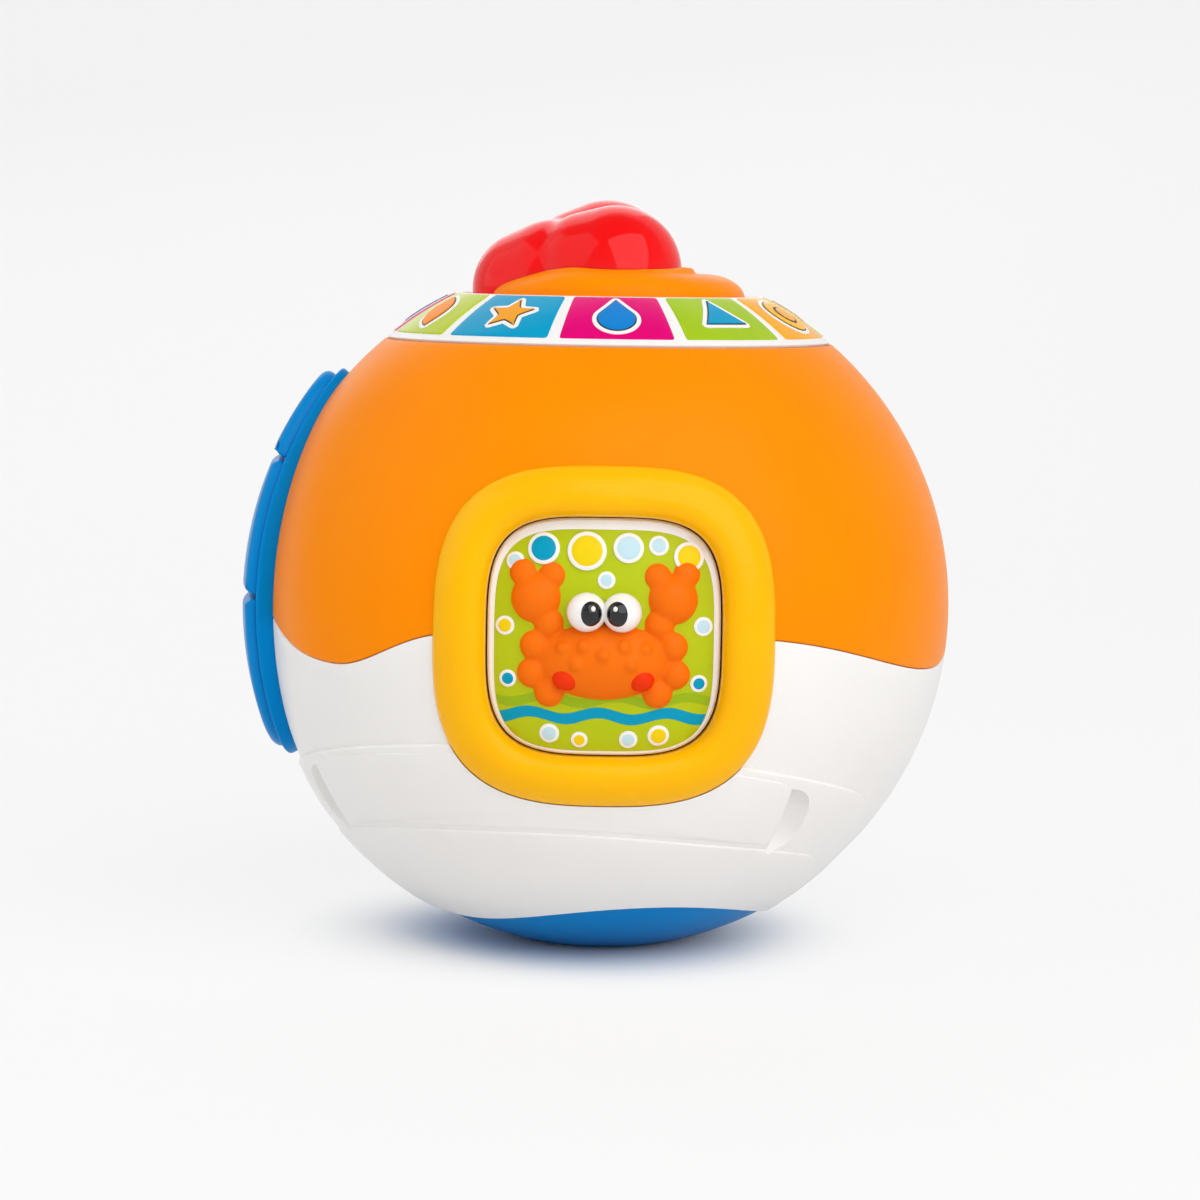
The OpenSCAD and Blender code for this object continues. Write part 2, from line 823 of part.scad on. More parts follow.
// Top
module cap_profile(inset) {
    r = cap_r - inset;
    polygon(concat(
        [[0, carrier_top - inset], [r, carrier_top - inset]],
        [
            for (a = [0:10:90])
                [r - cap_shoulder + cap_shoulder * cos(a), ring_z_high - inset + cap_rise * sin(a)]
        ],
        [[0, cap_top - inset]]
    ));
}
module top_cap() color(orange) at_centre() {
    difference() {
        union() {
            translate([cap_shift, 0, 0]) rotate_extrude() cap_profile(0);
            translate([0, 0, ring_z_high - cap_brim_drop - cap_t])
                cylinder(r = well_r - parting, h = cap_t);
            intersection() {
                heart_column(cap_lip_w + moving_gap, cap_top - cap_t, cap_top + cap_lip);
                translate([cap_shift, 0, 0]) cylinder(r = cap_r - cap_shoulder + cap_lip_w, h = far);
            }
        }
        translate([cap_shift, 0, 0]) rotate_extrude() cap_profile(cap_t);
        heart_column(moving_gap, 0, far);
    }
}
module heart_button() color(red) at_centre() {
    intersection() {
        union() for (lobe = lobes) heart_half(lobe);
        translate([0, 0, heart_bottom]) cylinder(r = R, h = R);
    }
    intersection() {
        heart_column(moving_gap + heart_flange, heart_flange_z, heart_flange_z + heart_flange_t);
        translate([cap_shift, 0, 0]) cylinder(r = heart_flange_r, h = far);
    }
    translate([0, 0, stem_bottom]) cylinder(d = stem_d, h = heart_bottom - stem_bottom + 1);
}
module heart_spring() color(steel) at_centre()
    translate([0, 0, carrier_top])
        coil(guide_d / 2 - 0.5, 1.2, heart_bottom - carrier_top - spring_play, 5);
module button_carrier() color(white) at_centre() {
    bracket = switch_base + 2 * switch_shelf_t + 2;
    shelf_bottom = shelf_top - switch_shelf_t;
    bracket_h = carrier_bottom - shelf_bottom + 1;
    difference() {
        union() {
            translate([0, 0, carrier_bottom]) cylinder(r = carrier_r, h = carrier_t);
            translate([0, 0, carrier_top - guide_l]) cylinder(d = guide_d, h = guide_l);
            for (side = [-1, 1])
                translate([side * (bracket - switch_shelf_t) / 2, 0, shelf_bottom + bracket_h / 2])
                    cube([switch_shelf_t, switch_base, bracket_h], center = true);
            translate([0, 0, shelf_top - switch_shelf_t / 2])
                cube([bracket, switch_base, switch_shelf_t], center = true);
        }
        translate([0, 0, stem_bottom]) cylinder(d = stem_d + 2 * running_play, h = R);
    }
}
module button_switch() color(dark) at_centre() {
    translate([0, 0, shelf_top + switch_h / 2])
        cube([switch_base - 1, switch_base - 1, switch_h], center = true);
    translate([0, 0, shelf_top + switch_h]) cylinder(d = plunger_d, h = plunger_h);
}
module led_board() color(board_green) at_centre()
    translate([0, 0, carrier_top])
        difference() {
            cylinder(r = led_board_r[1], h = board_t);
            translate([0, 0, -1]) cylinder(r = led_board_r[0], h = board_t + 2);
        }
module leds() color(white) at_centre()
    for (i = [0:window_count - 1])
        rotate(window_centre(i))
            translate([0, -(led_board_r[0] + led_board_r[1]) / 2, carrier_top + board_t]) {
                cylinder(d = led_d, h = led_h - led_d / 2);
                intersection() {
                    translate([0, 0, led_h - led_d / 2]) sphere(d = led_d);
                    cylinder(d = 2 * led_d, h = led_h);
                }
            }

// Front panel
module front_frame() color(yellow) at_centre() face_out(front_az, 0) {
    frame_band();
    difference() {
        union() {
            neck_outline(neck_back, neck_top);
            intersection() {
                prism(frame_size / 2 + frame_flange, frame_size / 2 + frame_flange, frame_power, 0, R);
                difference() {
                    behind_flat(wall + seat_play);
                    behind_flat(wall + seat_play + frame_flange_t);
                }
            }
        }
        prism(opening_w / 2, opening_h / 2, opening_power, 0, R);
    }
}
module panel_back() color(white) at_centre() face_out(front_az, 0)
    difference() {
        union() {
            neck_outline(neck_back - panel_back_t, neck_back);
            translate([0, 0, panel_stem_end]) cylinder(d = panel_boss_d, h = panel_boss_h + 1);
        }
        translate([0, 0, panel_stem_end - 1]) cylinder(d = panel_stem_d + 2 * running_play, h = R);
    }
module panel_plate() color(lime) at_centre() face_out(front_az, 0) {
    intersection() {
        panel_outline(R / 2, R);
        difference() {
            behind_panel();
            translate([0, 0, -panel_t]) behind_panel();
        }
    }
    translate([0, 0, panel_stem_end])
        cylinder(d = panel_stem_d, h = panel_level - panel_t - panel_stem_end + 1);
}
module panel_spring() color(steel) at_centre() face_out(front_az, 0)
    translate([0, 0, neck_back])
        coil(panel_stem_d / 2 + 1.4, 0.9, panel_level - panel_t - neck_back - spring_play, 5);
module crab_figure() color(orange) at_centre() face_out(front_az, 0)
    difference() {
        union() {
            translate([0, body_y, panel_height(0, body_y) - body_sink]) rotate([0, 90, 0]) egg_body();
            for (side = [-1, 1]) {
                bead([side * arm[0], arm[1]], arm_r, 0.3);
                bead([side * claw[0], claw[1]], claw_r, 0.3);
                for (tip = pincer_tips)
                    bead([side * (claw[0] + tip[0]), claw[1] + tip[1]], pincer_r, 0.25);
                for (leg = legs) bead([side * leg[0], leg[1]], leg_r, 0.25);
            }
            for (bump = shell_bumps)
                translate([bump[0], bump[1], panel_height(0, body_y) + body_r - body_sink - 0.9])
                    sphere(r = bump_r);
        }
        behind_panel();
        eye_balls();
        cheek_balls();
    }
module crab_eyes() color(white) at_centre() face_out(front_az, 0)
    difference() {
        eye_balls();
        behind_panel();
        pupil_balls();
    }
module crab_pupils() color(dark) at_centre() face_out(front_az, 0) pupil_balls();
module crab_cheeks() color(red) at_centre() face_out(front_az, 0)
    difference() {
        cheek_balls();
        behind_panel();
    }

// Side keys
module side_seat() color(base_blue) at_centre()
    difference() {
        union() {
            intersection() {
                egg_patch(0);
                difference() {
                    sphere(r = R + seat_rise);
                    sphere(r = R - seat_depth);
                }
            }
            intersection() {
                egg_patch(arc_of(seat_flange));
                difference() {
                    ball_body(wall + seat_play);
                    ball_body(wall + seat_play + seat_flange_t);
                }
            }
        }
        difference() {
            egg_patch(-arc_of(seat_rim));
            sphere(r = seat_floor_r);
        }
        for (lat = key_lats) face_out(side_az, lat) cylinder(d = key_pin_d + 2 * running_play, h = R);
    }
module side_key(place, low, high, extra) color(blue) at_centre() {
    intersection() {
        egg_patch(-arc_of(seat_rim + moving_gap));
        lat_wedge(low, high);
        difference() {
            sphere(r = R + key_rise + extra);
            sphere(r = R - key_depth);
        }
    }
    face_out(side_az, key_lats[place])
        translate([0, 0, R - key_depth - key_pin_l]) cylinder(d = key_pin_d, h = key_pin_l + 2);
}
module upper_key() side_key(0, key_cuts[1] + arc_of(key_gap / 2), egg_lat + 2 * egg_half_h, key_top_extra);
module middle_key() side_key(1, key_cuts[0] + arc_of(key_gap / 2), key_cuts[1] - arc_of(key_gap / 2), 0);
module lower_key() side_key(2, egg_lat - 2 * egg_half_h, key_cuts[0] - arc_of(key_gap / 2), 0);
module key_spring(place) color(steel) at_centre() face_out(side_az, key_lats[place])
    translate([0, 0, seat_floor_r])
        coil(key_pin_d / 2 + 1, 0.6, R - key_depth - seat_floor_r - spring_play, 3);
module upper_key_spring() key_spring(0);
module middle_key_spring() key_spring(1);
module lower_key_spring() key_spring(2);

// Power
module battery_box() color(dark) at_centre() {
    difference() {
        translate([0, 0, floor_bottom]) {
            linear_extrude(box_inner_h + box_wall) square([box_l, box_w], center = true);
            translate([0, 0, floor_t])
                linear_extrude(box_flange_t) square([box_l + 2 * box_flange, box_w], center = true);
        }
        translate([0, 0, floor_bottom - 1])
            linear_extrude(box_inner_h + 1) square([box_inner_l, box_inner_w], center = true);
    }
    for (x = [-1, 1], y = [-1, 1])
        translate([x * (board_l / 2 - board_post_d), y * (board_w / 2 - board_post_d), box_top])
            cylinder(d = board_post_d, h = board_post_h);
}
cell_z = floor_bottom + box_inner_h - cell_d / 2;
contact_t = 0.5;
cell_start = -box_inner_l / 2 + contact_t;
module each_cell() {
    for (i = [0:cell_count - 1])
        translate([0, cell_pitch * (i - (cell_count - 1) / 2), cell_z]) mirror([i % 2, 0, 0]) children();
}
module battery_cells() color(amber) at_centre() each_cell()
    translate([cell_start, 0, 0]) rotate([0, 90, 0]) {
        cylinder(d = cell_d * 0.4, h = 2);
        translate([0, 0, 1.4]) cylinder(d = cell_d, h = cell_l - 1.4);
    }
module battery_contacts() color(steel) at_centre() each_cell() {
    for (x = [-box_inner_l / 2, box_inner_l / 2 - contact_t])
        translate([x, -cell_d * 0.4, -cell_d * 0.4]) cube([contact_t, cell_d * 0.8, cell_d * 0.8]);
    translate([cell_start + cell_l, 0, 0]) rotate([0, 90, 0])
        coil(cell_d * 0.22, 0.8, box_inner_l - cell_l - 2 * contact_t, 3);
}
module main_board() color(board_green) at_centre()
    translate([0, 0, board_z]) linear_extrude(board_t) square([board_l, board_w], center = true);
module board_chips() color(dark) at_centre() translate([0, 0, board_z + board_t]) {
    translate(sound_chip_at)
        linear_extrude(sound_chip[2]) square([sound_chip[0], sound_chip[1]], center = true);
    translate(amplifier_at)
        linear_extrude(amplifier[2]) square([amplifier[0], amplifier[1]], center = true);
    translate(capacitor_at) cylinder(d = capacitor_d, h = capacitor_h);
}

// Sound and switch
module speaker() color(dark) at_centre() face_out(control_az, speaker_lat) translate([0, 0, speaker_level]) {
    magnet_r = speaker_d * 0.28;
    magnet_h = 5;
    basket_r = speaker_d * 0.34;
    rim_r = speaker_d * 0.46;
    dust_cap_r = speaker_d * 0.14;
    rotate_extrude()
        polygon([
            [0, -speaker_depth], [magnet_r, -speaker_depth], [magnet_r, magnet_h - speaker_depth],
            [basket_r, magnet_h - speaker_depth], [rim_r, -speaker_rim_t], [speaker_d / 2, -speaker_rim_t],
            [speaker_d / 2, 0], [rim_r, 0], [rim_r - 1, -1.2], [dust_cap_r, -6], [0, -4.6]
        ]);
}
module power_switch() color(dark) at_centre() face_out(control_az, switch_lat) {
    translate([0, 0, switch_level + parting])
        linear_extrude(switch_sunk - parting + knob_rise) square(knob, center = true);
    translate([0, 0, switch_level - switch_floor - switch_tip])
        linear_extrude(switch_floor + switch_tip + 1) square([switch_stem, switch_stem], center = true);
}
module switch_body() color(steel) at_centre() face_out(control_az, switch_lat)
    translate([0, 0, switch_level - switch_floor - switch_case[2]])
        difference() {
            linear_extrude(switch_case[2]) square([switch_case[0], switch_case[1]], center = true);
            translate([0, 0, switch_case[2] - switch_tip - moving_gap])
                linear_extrude(switch_case[2]) square(switch_slot, center = true);
        }

upper_shell();
lower_shell();
base_cap();
base_screws();
shell_screws();
ring_frame();
tiles_lime();
tiles_blue();
tiles_magenta();
tiles_green();
tiles_yellow();
leaf_icons();
star_icons();
drop_icons();
triangle_icons();
hoop_icons();
top_cap();
heart_button();
heart_spring();
button_carrier();
button_switch();
led_board();
leds();
front_frame();
panel_back();
panel_plate();
panel_spring();
crab_figure();
crab_eyes();
crab_pupils();
crab_cheeks();
side_seat();
upper_key();
middle_key();
lower_key();
upper_key_spring();
middle_key_spring();
lower_key_spring();
battery_box();
battery_cells();
battery_contacts();
main_board();
board_chips();
speaker();
power_switch();
switch_body();
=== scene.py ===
# %% [markdown]
# # A baby's activity ball, piece by piece
# The ball is a set of moulded shells: orange above, white below, blue at the base. A lit ring of
# picture windows, a red heart button, a framed crab panel and three side keys sit in it. The packed
# CAD model is loaded first and stays as the frame, so every piece is drawn where its solid is.

# %% Load the frame
import json
import math

import bmesh
import bpy
import numpy as np
from mathutils import Matrix, Vector

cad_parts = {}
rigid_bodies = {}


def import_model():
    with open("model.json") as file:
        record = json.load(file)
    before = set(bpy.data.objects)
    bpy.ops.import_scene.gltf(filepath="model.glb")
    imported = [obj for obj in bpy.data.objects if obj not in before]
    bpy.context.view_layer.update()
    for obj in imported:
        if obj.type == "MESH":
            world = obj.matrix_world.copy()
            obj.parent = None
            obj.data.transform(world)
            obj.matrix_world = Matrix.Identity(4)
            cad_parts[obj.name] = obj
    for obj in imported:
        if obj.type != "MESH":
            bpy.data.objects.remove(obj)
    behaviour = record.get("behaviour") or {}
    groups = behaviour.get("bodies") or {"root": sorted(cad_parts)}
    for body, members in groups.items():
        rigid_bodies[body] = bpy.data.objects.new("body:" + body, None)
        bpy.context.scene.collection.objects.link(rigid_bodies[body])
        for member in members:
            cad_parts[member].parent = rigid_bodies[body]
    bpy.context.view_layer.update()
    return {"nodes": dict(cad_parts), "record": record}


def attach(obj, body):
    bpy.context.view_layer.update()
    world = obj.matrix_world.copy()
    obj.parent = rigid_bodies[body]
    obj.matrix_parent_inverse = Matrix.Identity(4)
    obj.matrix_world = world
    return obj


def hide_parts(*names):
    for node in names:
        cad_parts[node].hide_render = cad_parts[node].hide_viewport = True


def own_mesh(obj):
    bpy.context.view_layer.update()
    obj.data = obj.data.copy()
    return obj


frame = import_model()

# %% [markdown]
# ## Sizes and directions
# Nearly every piece follows the ball, so a place on it is named as on a globe: azimuth in degrees
# from the front towards the right, and latitude from the equator. Two wide spots, round the front
# frame and round the side keys, are moulded flatter than the ball. Their radius is worked out here
# once, and each skin then asks for the radius in any direction. A soft minimum joins the flat spot
# to the ball, because a moulded crease is never knife sharp. Lengths are in millimetres.

# %% The ball as a globe
MM = 0.001
BALL_R = 87.5
FOOT_R = 21
SKIN_R = BALL_R - 0.02  # the drawn skin stays a hair inside the solid
CENTRE_Z = math.sqrt(BALL_R**2 - FOOT_R**2)
FRONT_AZ, SIDE_AZ, CONTROL_AZ = 0, -92, 134
SEAT_ANGLE, SEAT_CREASE, SEAT_BLEND = math.radians(36), math.radians(5), 0.5
FLAT_R = BALL_R * math.sin(SEAT_ANGLE) / math.sin(SEAT_ANGLE - SEAT_CREASE)
FLAT_BACK = BALL_R * math.cos(SEAT_ANGLE) - FLAT_R * math.cos(SEAT_ANGLE - SEAT_CREASE)


def toward(az, lat):
    az, lat = np.radians(az), np.radians(lat)
    return np.stack([np.sin(az) * np.cos(lat), -np.cos(az) * np.cos(lat), np.sin(lat) + 0 * az], axis=-1)


def arc(mm):
    return math.degrees(mm / BALL_R)


def soft_min(a, b, blend):
    share = np.clip(0.5 + 0.5 * (b - a) / blend, 0, 1)
    return b + (a - b) * share - blend * share * (1 - share)


def moulded_radius(az, lat):
    way = toward(az, lat)
    radius = np.full(way.shape[:-1], SKIN_R)
    for seat_az in (FRONT_AZ, SIDE_AZ):
        along = way @ toward(seat_az, 0)
        flat = FLAT_BACK * along + np.sqrt(FLAT_R**2 - FLAT_BACK**2 * (1 - along**2))
        radius = soft_min(radius, flat, SEAT_BLEND)
    return radius


def true_radius(az, lat):
    return np.full(np.broadcast(az, lat).shape, BALL_R)


front_back = np.array([0, 180])
print("radius at the front and at the back:", moulded_radius(front_back, 0 * front_back).round(2))

# %% [markdown]
# ## Making meshes
# A moulded skin is a grid: rows of points that follow its edges, joined by four-sided faces. One
# helper turns such a grid into a closed mesh in metres, and one marks only true corners as sharp, so
# the rest shades as smooth plastic. Holes and joined plates are made with the Boolean modifier, whose
# result is taken as a plain mesh.

# %% Grid, smoothing and Boolean helpers
SHARP = 34  # degrees past which a corner is left sharp


def new_object(name, data):
    made = bpy.data.objects.new(name, data)
    bpy.context.scene.collection.objects.link(made)
    return made


def in_metres(points):
    """Places in millimetres from the ball's centre, as places in the scene."""
    return (np.asarray(points, float) + (0, 0, CENTRE_Z)) * MM


def grid_faces(rows, cols, loop):
    """Faces between rows that are closed rings. With loop, the last row also meets the first."""
    faces = []
    for row in range(rows if loop else rows - 1):
        near, far = row * cols, (row + 1) % rows * cols
        faces += [(near + c, near + (c + 1) % cols, far + (c + 1) % cols, far + c) for c in range(cols)]
    return faces


def close_up(piece, gap=1e-6, outward=True):
    """Merges the points that meet, as at poles, and turns all faces outward."""
    edit = bmesh.new()
    edit.from_mesh(piece.data)
    bmesh.ops.remove_doubles(edit, verts=edit.verts, dist=gap)
    if outward:
        bmesh.ops.recalc_face_normals(edit, faces=edit.faces)
    edit.to_mesh(piece.data)
    edit.free()


def shade(piece, sharp=SHARP):
    piece.data.shade_smooth()
    piece.data.set_sharp_from_angle(angle=math.radians(sharp))


def grid_piece(name, rows, loop=False, sharp=SHARP):
    """A closed piece from rows of points in millimetres from the ball's centre."""
    points = np.asarray(rows, float)
    mesh = bpy.data.meshes.new(name)
    faces = grid_faces(points.shape[0], points.shape[1], loop)
    mesh.from_pydata(in_metres(points.reshape(-1, 3)).tolist(), [], faces)
    piece = new_object(name, mesh)
    close_up(piece)
    shade(piece, sharp)
    return piece


def settle(piece):
    """Takes what the modifiers make as the piece's own mesh."""
    made = bpy.data.meshes.new_from_object(piece.evaluated_get(bpy.context.evaluated_depsgraph_get()))
    piece.modifiers.clear()
    piece.data = made
    made.name = piece.name


def carve(piece, tool, operation="DIFFERENCE"):
    step = piece.modifiers.new("carve", "BOOLEAN")
    step.operation, step.object, step.solver = operation, tool, "MANIFOLD"
    settle(piece)
    bpy.data.objects.remove(tool, do_unlink=True)
    shade(piece)


print("mesh helpers ready, corners stay sharp past", SHARP, "degrees")

# %% [markdown]
# ## Moulded plastic
# The shells are ABS from polished moulds: an even colour, a soft wide highlight, and a faint
# orange-peel ripple that only shows where a lamp mirrors in it. The colour is never quite one value,
# because the pigment clouds a little. So one recipe makes all the finishes: a slow noise moves the
# colour, a finer one moves the roughness, and the finest one is the ripple. The true ripple is about
# half a millimetre, and it is drawn at twice that, so that it shows in the render. Other sizes of
# cloud and ripple turn the same recipe into steel, lacquered board, film, ink and vinyl.

# %% Colours and the recipe for finishes
WEAR_MM, RIPPLE_HIGH = 6, 0.02


def to_linear(code):
    parts = [int(code[i : i + 2], 16) / 255 for i in (1, 3, 5)]
    return tuple(p / 12.92 if p <= 0.04045 else ((p + 0.055) / 1.055) ** 2.4 for p in parts) + (1.0,)


def add_node(tree, kind, settings=None, sockets=None):
    node = tree.nodes.new(kind)
    for name, value in (settings or {}).items():
        setattr(node, name, value)
    for name, value in (sockets or {}).items():
        if isinstance(value, bpy.types.NodeSocket):
            tree.links.new(value, node.inputs[name])
        else:
            node.inputs[name].default_value = value
    return node


def plastic(
    name, colour, cloud, rough=(0.2, 0.3), ripple=0.25, ripple_mm=1.0, cloud_mm=18, gloss=0.12, metal=0.0
):
    """colour and cloud are the two shades that the pigment drifts between."""
    material = bpy.data.materials.new(name)
    material.use_nodes = True
    tree = material.node_tree
    place = add_node(tree, "ShaderNodeTexCoord").outputs["Object"]
    grains = ((cloud_mm, 2.0), (WEAR_MM, 3.0), (ripple_mm, 2.0))
    noises = [{"Vector": place, "Scale": 1 / (mm * MM), "Detail": detail} for mm, detail in grains]
    drift, wear, peel = [add_node(tree, "ShaderNodeTexNoise", sockets=n).outputs["Fac"] for n in noises]
    shades = {0: drift, 6: to_linear(colour), 7: to_linear(cloud)}
    tint = add_node(tree, "ShaderNodeMix", {"data_type": "RGBA"}, shades)
    spread = {"Value": wear, "To Min": rough[0], "To Max": rough[1]}
    roughness = add_node(tree, "ShaderNodeMapRange", sockets=spread)
    height = {"Height": peel, "Strength": ripple, "Distance": RIPPLE_HIGH * MM}
    bump = add_node(tree, "ShaderNodeBump", sockets=height)
    shader = tree.nodes["Principled BSDF"].inputs
    tree.links.new(tint.outputs[2], shader["Base Color"])
    tree.links.new(roughness.outputs["Result"], shader["Roughness"])
    tree.links.new(bump.outputs["Normal"], shader["Normal"])
    shader["IOR"].default_value = 1.5
    shader["Specular IOR Level"].default_value = gloss
    shader["Metallic"].default_value = metal
    return material


# Polished ABS: even colour with a soft, slightly rippled highlight.
ORANGE = plastic("orange polished ABS", "#FF9000", "#FE8A00", rough=(0.3, 0.38), gloss=0.05)
WHITE = plastic("white polished ABS", "#F3F1EF", "#EFEDEB", rough=(0.3, 0.38))
YELLOW = plastic("yellow polished ABS", "#FFBE00", "#FEB400", rough=(0.22, 0.3))
BLUE = plastic("blue polished ABS", "#0089D2", "#0082CA", rough=(0.26, 0.34), gloss=0.08)
BASE_BLUE = plastic("base blue polished ABS", "#0088D2", "#0081CA", rough=(0.3, 0.38), gloss=0.03)
# The heart is moulded in a mirror-polished tool, so lamps show in it as clear panes.
RED = plastic("red gloss ABS", "#F2080C", "#EC0408", rough=(0.08, 0.12), ripple=0.06, gloss=0.22)
DARK = plastic("black ABS", "#26282C", "#1E2024", rough=(0.4, 0.5))
print("shell plastics:", [m.name for m in (ORANGE, WHITE, YELLOW, BLUE, BASE_BLUE, RED, DARK)])
# Zinc-plated steel: grey with a soft sheen. Circuit board: matt green lacquer. Cell wrap: shrunk film.
STEEL = plastic("zinc-plated steel", "#B8BCC0", "#AEB2B8", (0.28, 0.4), cloud_mm=3, gloss=0.5, metal=1.0)
BOARD = plastic("green circuit board", "#1F6B3A", "#1A6034", rough=(0.45, 0.55), cloud_mm=4)
CELL_WRAP = plastic("amber shrink film", "#F0A818", "#E69C10", rough=(0.25, 0.35))
print("other finishes:", [m.name for m in (STEEL, BOARD, CELL_WRAP)])


# %% Hand a piece to its body
def hand_over(piece, material, body, slot, *nodes):
    """Sets the finish of a piece, ties it to its body and hides the CAD nodes it stands for."""
    piece.data.materials.clear()
    piece.data.materials.append(material)
    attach(piece, body)
    if nodes:
        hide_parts(*nodes)
    print(piece.name, "has", len(piece.data.polygons), "faces")


# %% [markdown]
# ## Copies by rule
# Windows, pictures, grille holes and dots repeat, so Geometry Nodes place them. The host mesh is a
# handful of points, and each point carries its own turn and size. The tree puts a copy of the given
# piece on each point, makes the copies real and sets their finish.

# %% The tree that sets copies on places
def copies_tree():
    tree = bpy.data.node_groups.new("copies on places", "GeometryNodeTree")
    inputs = {"Places": "Geometry", "Piece": "Object", "Size": "Float", "Finish": "Material"}
    for name, kind in inputs.items():
        tree.interface.new_socket(name, in_out="INPUT", socket_type="NodeSocket" + kind)
    tree.interface.new_socket("Copies", in_out="OUTPUT", socket_type="NodeSocketGeometry")
    given = add_node(tree, "NodeGroupInput").outputs
    turn = add_node(tree, "GeometryNodeInputNamedAttribute", {"data_type": "FLOAT_VECTOR"}, {"Name": "turn"})
    grow = add_node(tree, "GeometryNodeInputNamedAttribute", {"data_type": "FLOAT"}, {"Name": "grow"})
    angle = add_node(tree, "FunctionNodeEulerToRotation", sockets={"Euler": turn.outputs["Attribute"]})
    factors = {0: grow.outputs["Attribute"], 1: given["Size"]}
    size = add_node(tree, "ShaderNodeMath", {"operation": "MULTIPLY"}, factors)
    shape = add_node(tree, "GeometryNodeObjectInfo", sockets={"Object": given["Piece"]})
    links = {"Points": given["Places"], "Instance": shape.outputs["Geometry"]}
    links.update(Rotation=angle.outputs["Rotation"], Scale=size.outputs["Value"])
    spread = add_node(tree, "GeometryNodeInstanceOnPoints", sockets=links)
    real = add_node(tree, "GeometryNodeRealizeInstances", sockets={"Geometry": spread.outputs["Instances"]})
    links = {"Geometry": real.outputs["Geometry"], "Material": given["Finish"]}
    finish = add_node(tree, "GeometryNodeSetMaterial", sockets=links)
    add_node(tree, "NodeGroupOutput", sockets={"Copies": finish.outputs["Geometry"]})
    return tree


COPIES = copies_tree()
print("tree inputs:", [item.name for item in COPIES.interface.items_tree if item.in_out == "INPUT"])


# %% A helper that runs the tree
def copies(name, original, places, turns, material, sizes=None):
    """Copies of a piece at places in metres, each with its own turn in radians and its own size."""
    mesh = bpy.data.meshes.new(name)
    mesh.from_pydata([tuple(p) for p in places], [], [])
    mesh.attributes.new("turn", "FLOAT_VECTOR", "POINT").data.foreach_set("vector", np.ravel(turns))
    grow = np.ones(len(places)) if sizes is None else np.asarray(sizes, float)
    mesh.attributes.new("grow", "FLOAT", "POINT").data.foreach_set("value", grow)
    piece = new_object(name, mesh)
    step = piece.modifiers.new("copies", "NODES")
    step.node_group = COPIES
    values = {"Piece": original, "Size": 1.0, "Finish": material}
    for item in COPIES.interface.items_tree:
        if item.in_out == "INPUT" and item.name in values:
            step[item.identifier] = values[item.name]
    settle(piece)
    bpy.data.objects.remove(original, do_unlink=True)
    shade(piece)
    return piece


def facing(normals):
    """The turns that lay a flat piece, made facing up, on a surface with these normals."""
    return [tuple(Vector(n).to_track_quat("Z", "Y").to_euler()) for n in normals]


# %% [markdown]
# ## The two shells
# The orange half and the white half meet in a seam that rises at the front and dips at the sides.
# Each is a skin between two lines round the ball, with a small round on both edges, because moulded
# edges are never sharp and the round catches a thin light line. The inside is only a plain wall. It
# is drawn thicker than the real 2.6 mm, so that pockets cut into it keep a floor.

# %% Lines round the ball
# The seam's turning points, as azimuth in degrees and height in millimetres
SEAM = np.array([
    (-24, 0.3), (20, 0.3), (72, -11.8), (114, 0.3), (152, 0.3),
    (203, -11.8), (270, 0.3), (312, -9.5), (336, 0.3),
])
BASE_EDGE, BASE_SWELL, BASE_WAVES, BASE_CREST_AZ = -54.4, 3.8, 3, 13
RING_LOW, RING_HIGH = 50, 64
PARTING = 0.16


def seam_lat(az):
    turned = (np.asarray(az) - SEAM[0, 0]) % 360 + SEAM[0, 0]
    i = np.clip(np.searchsorted(SEAM[:, 0], turned, side="right") - 1, 0, len(SEAM) - 2)
    share = (turned - SEAM[i, 0]) / (SEAM[i + 1, 0] - SEAM[i, 0])
    height = SEAM[i, 1] + (SEAM[i + 1, 1] - SEAM[i, 1]) * (1 - np.cos(np.pi * share)) / 2
    return np.degrees(np.arcsin(height / BALL_R))


def base_lat(az):
    return BASE_EDGE + BASE_SWELL * np.cos(np.radians(BASE_WAVES * (np.asarray(az) - BASE_CREST_AZ)))


print("seam at the front and right:", seam_lat([0, 72]).round(2), "base edge:", base_lat([0, 72]).round(2))

# %% Skins between two lines
AZIMUTHS = np.linspace(0, 360, 360, endpoint=False)
SKIN_ROWS, WALL_ROWS, SKIN_WALL = 46, 16, 5.5
EDGE_ROUND = 0.45
QUARTER = np.radians([0, 30, 60, 90])
# The round of an edge: how far it goes back, in degrees, and how deep it lies, in millimetres
EDGE_BACK = [arc(EDGE_ROUND) * (1 - math.cos(a)) for a in QUARTER]
EDGE_SUNK = [EDGE_ROUND * (1 - math.sin(a)) for a in QUARTER]


def skin(name, low, high):
    low, high = low + arc(PARTING / 2), high - arc(PARTING / 2)
    rising = [low + back for back in EDGE_BACK]
    falling = [high - back for back in EDGE_BACK[::-1]]
    shares = np.linspace(0, 1, SKIN_ROWS + 2)[1:-1]
    between = [rising[-1] + (falling[0] - rising[-1]) * share for share in shares]
    wall = [low + (high - low) * share for share in np.linspace(1, 0, WALL_ROWS)]
    lats = np.array(rising + between + falling + wall)
    sunk = EDGE_SUNK + [0] * SKIN_ROWS + EDGE_SUNK[::-1] + [SKIN_WALL] * WALL_ROWS
    radius = moulded_radius(AZIMUTHS, lats) - np.array(sunk)[:, None]
    return grid_piece(name, toward(AZIMUTHS, lats) * radius[..., None], loop=True)


upper = skin("orange_shell", seam_lat(AZIMUTHS), np.full(len(AZIMUTHS), float(RING_LOW)))
lower = skin("white_shell", base_lat(AZIMUTHS), seam_lat(AZIMUTHS))
print("skins:", len(upper.data.vertices), len(lower.data.vertices), "points")

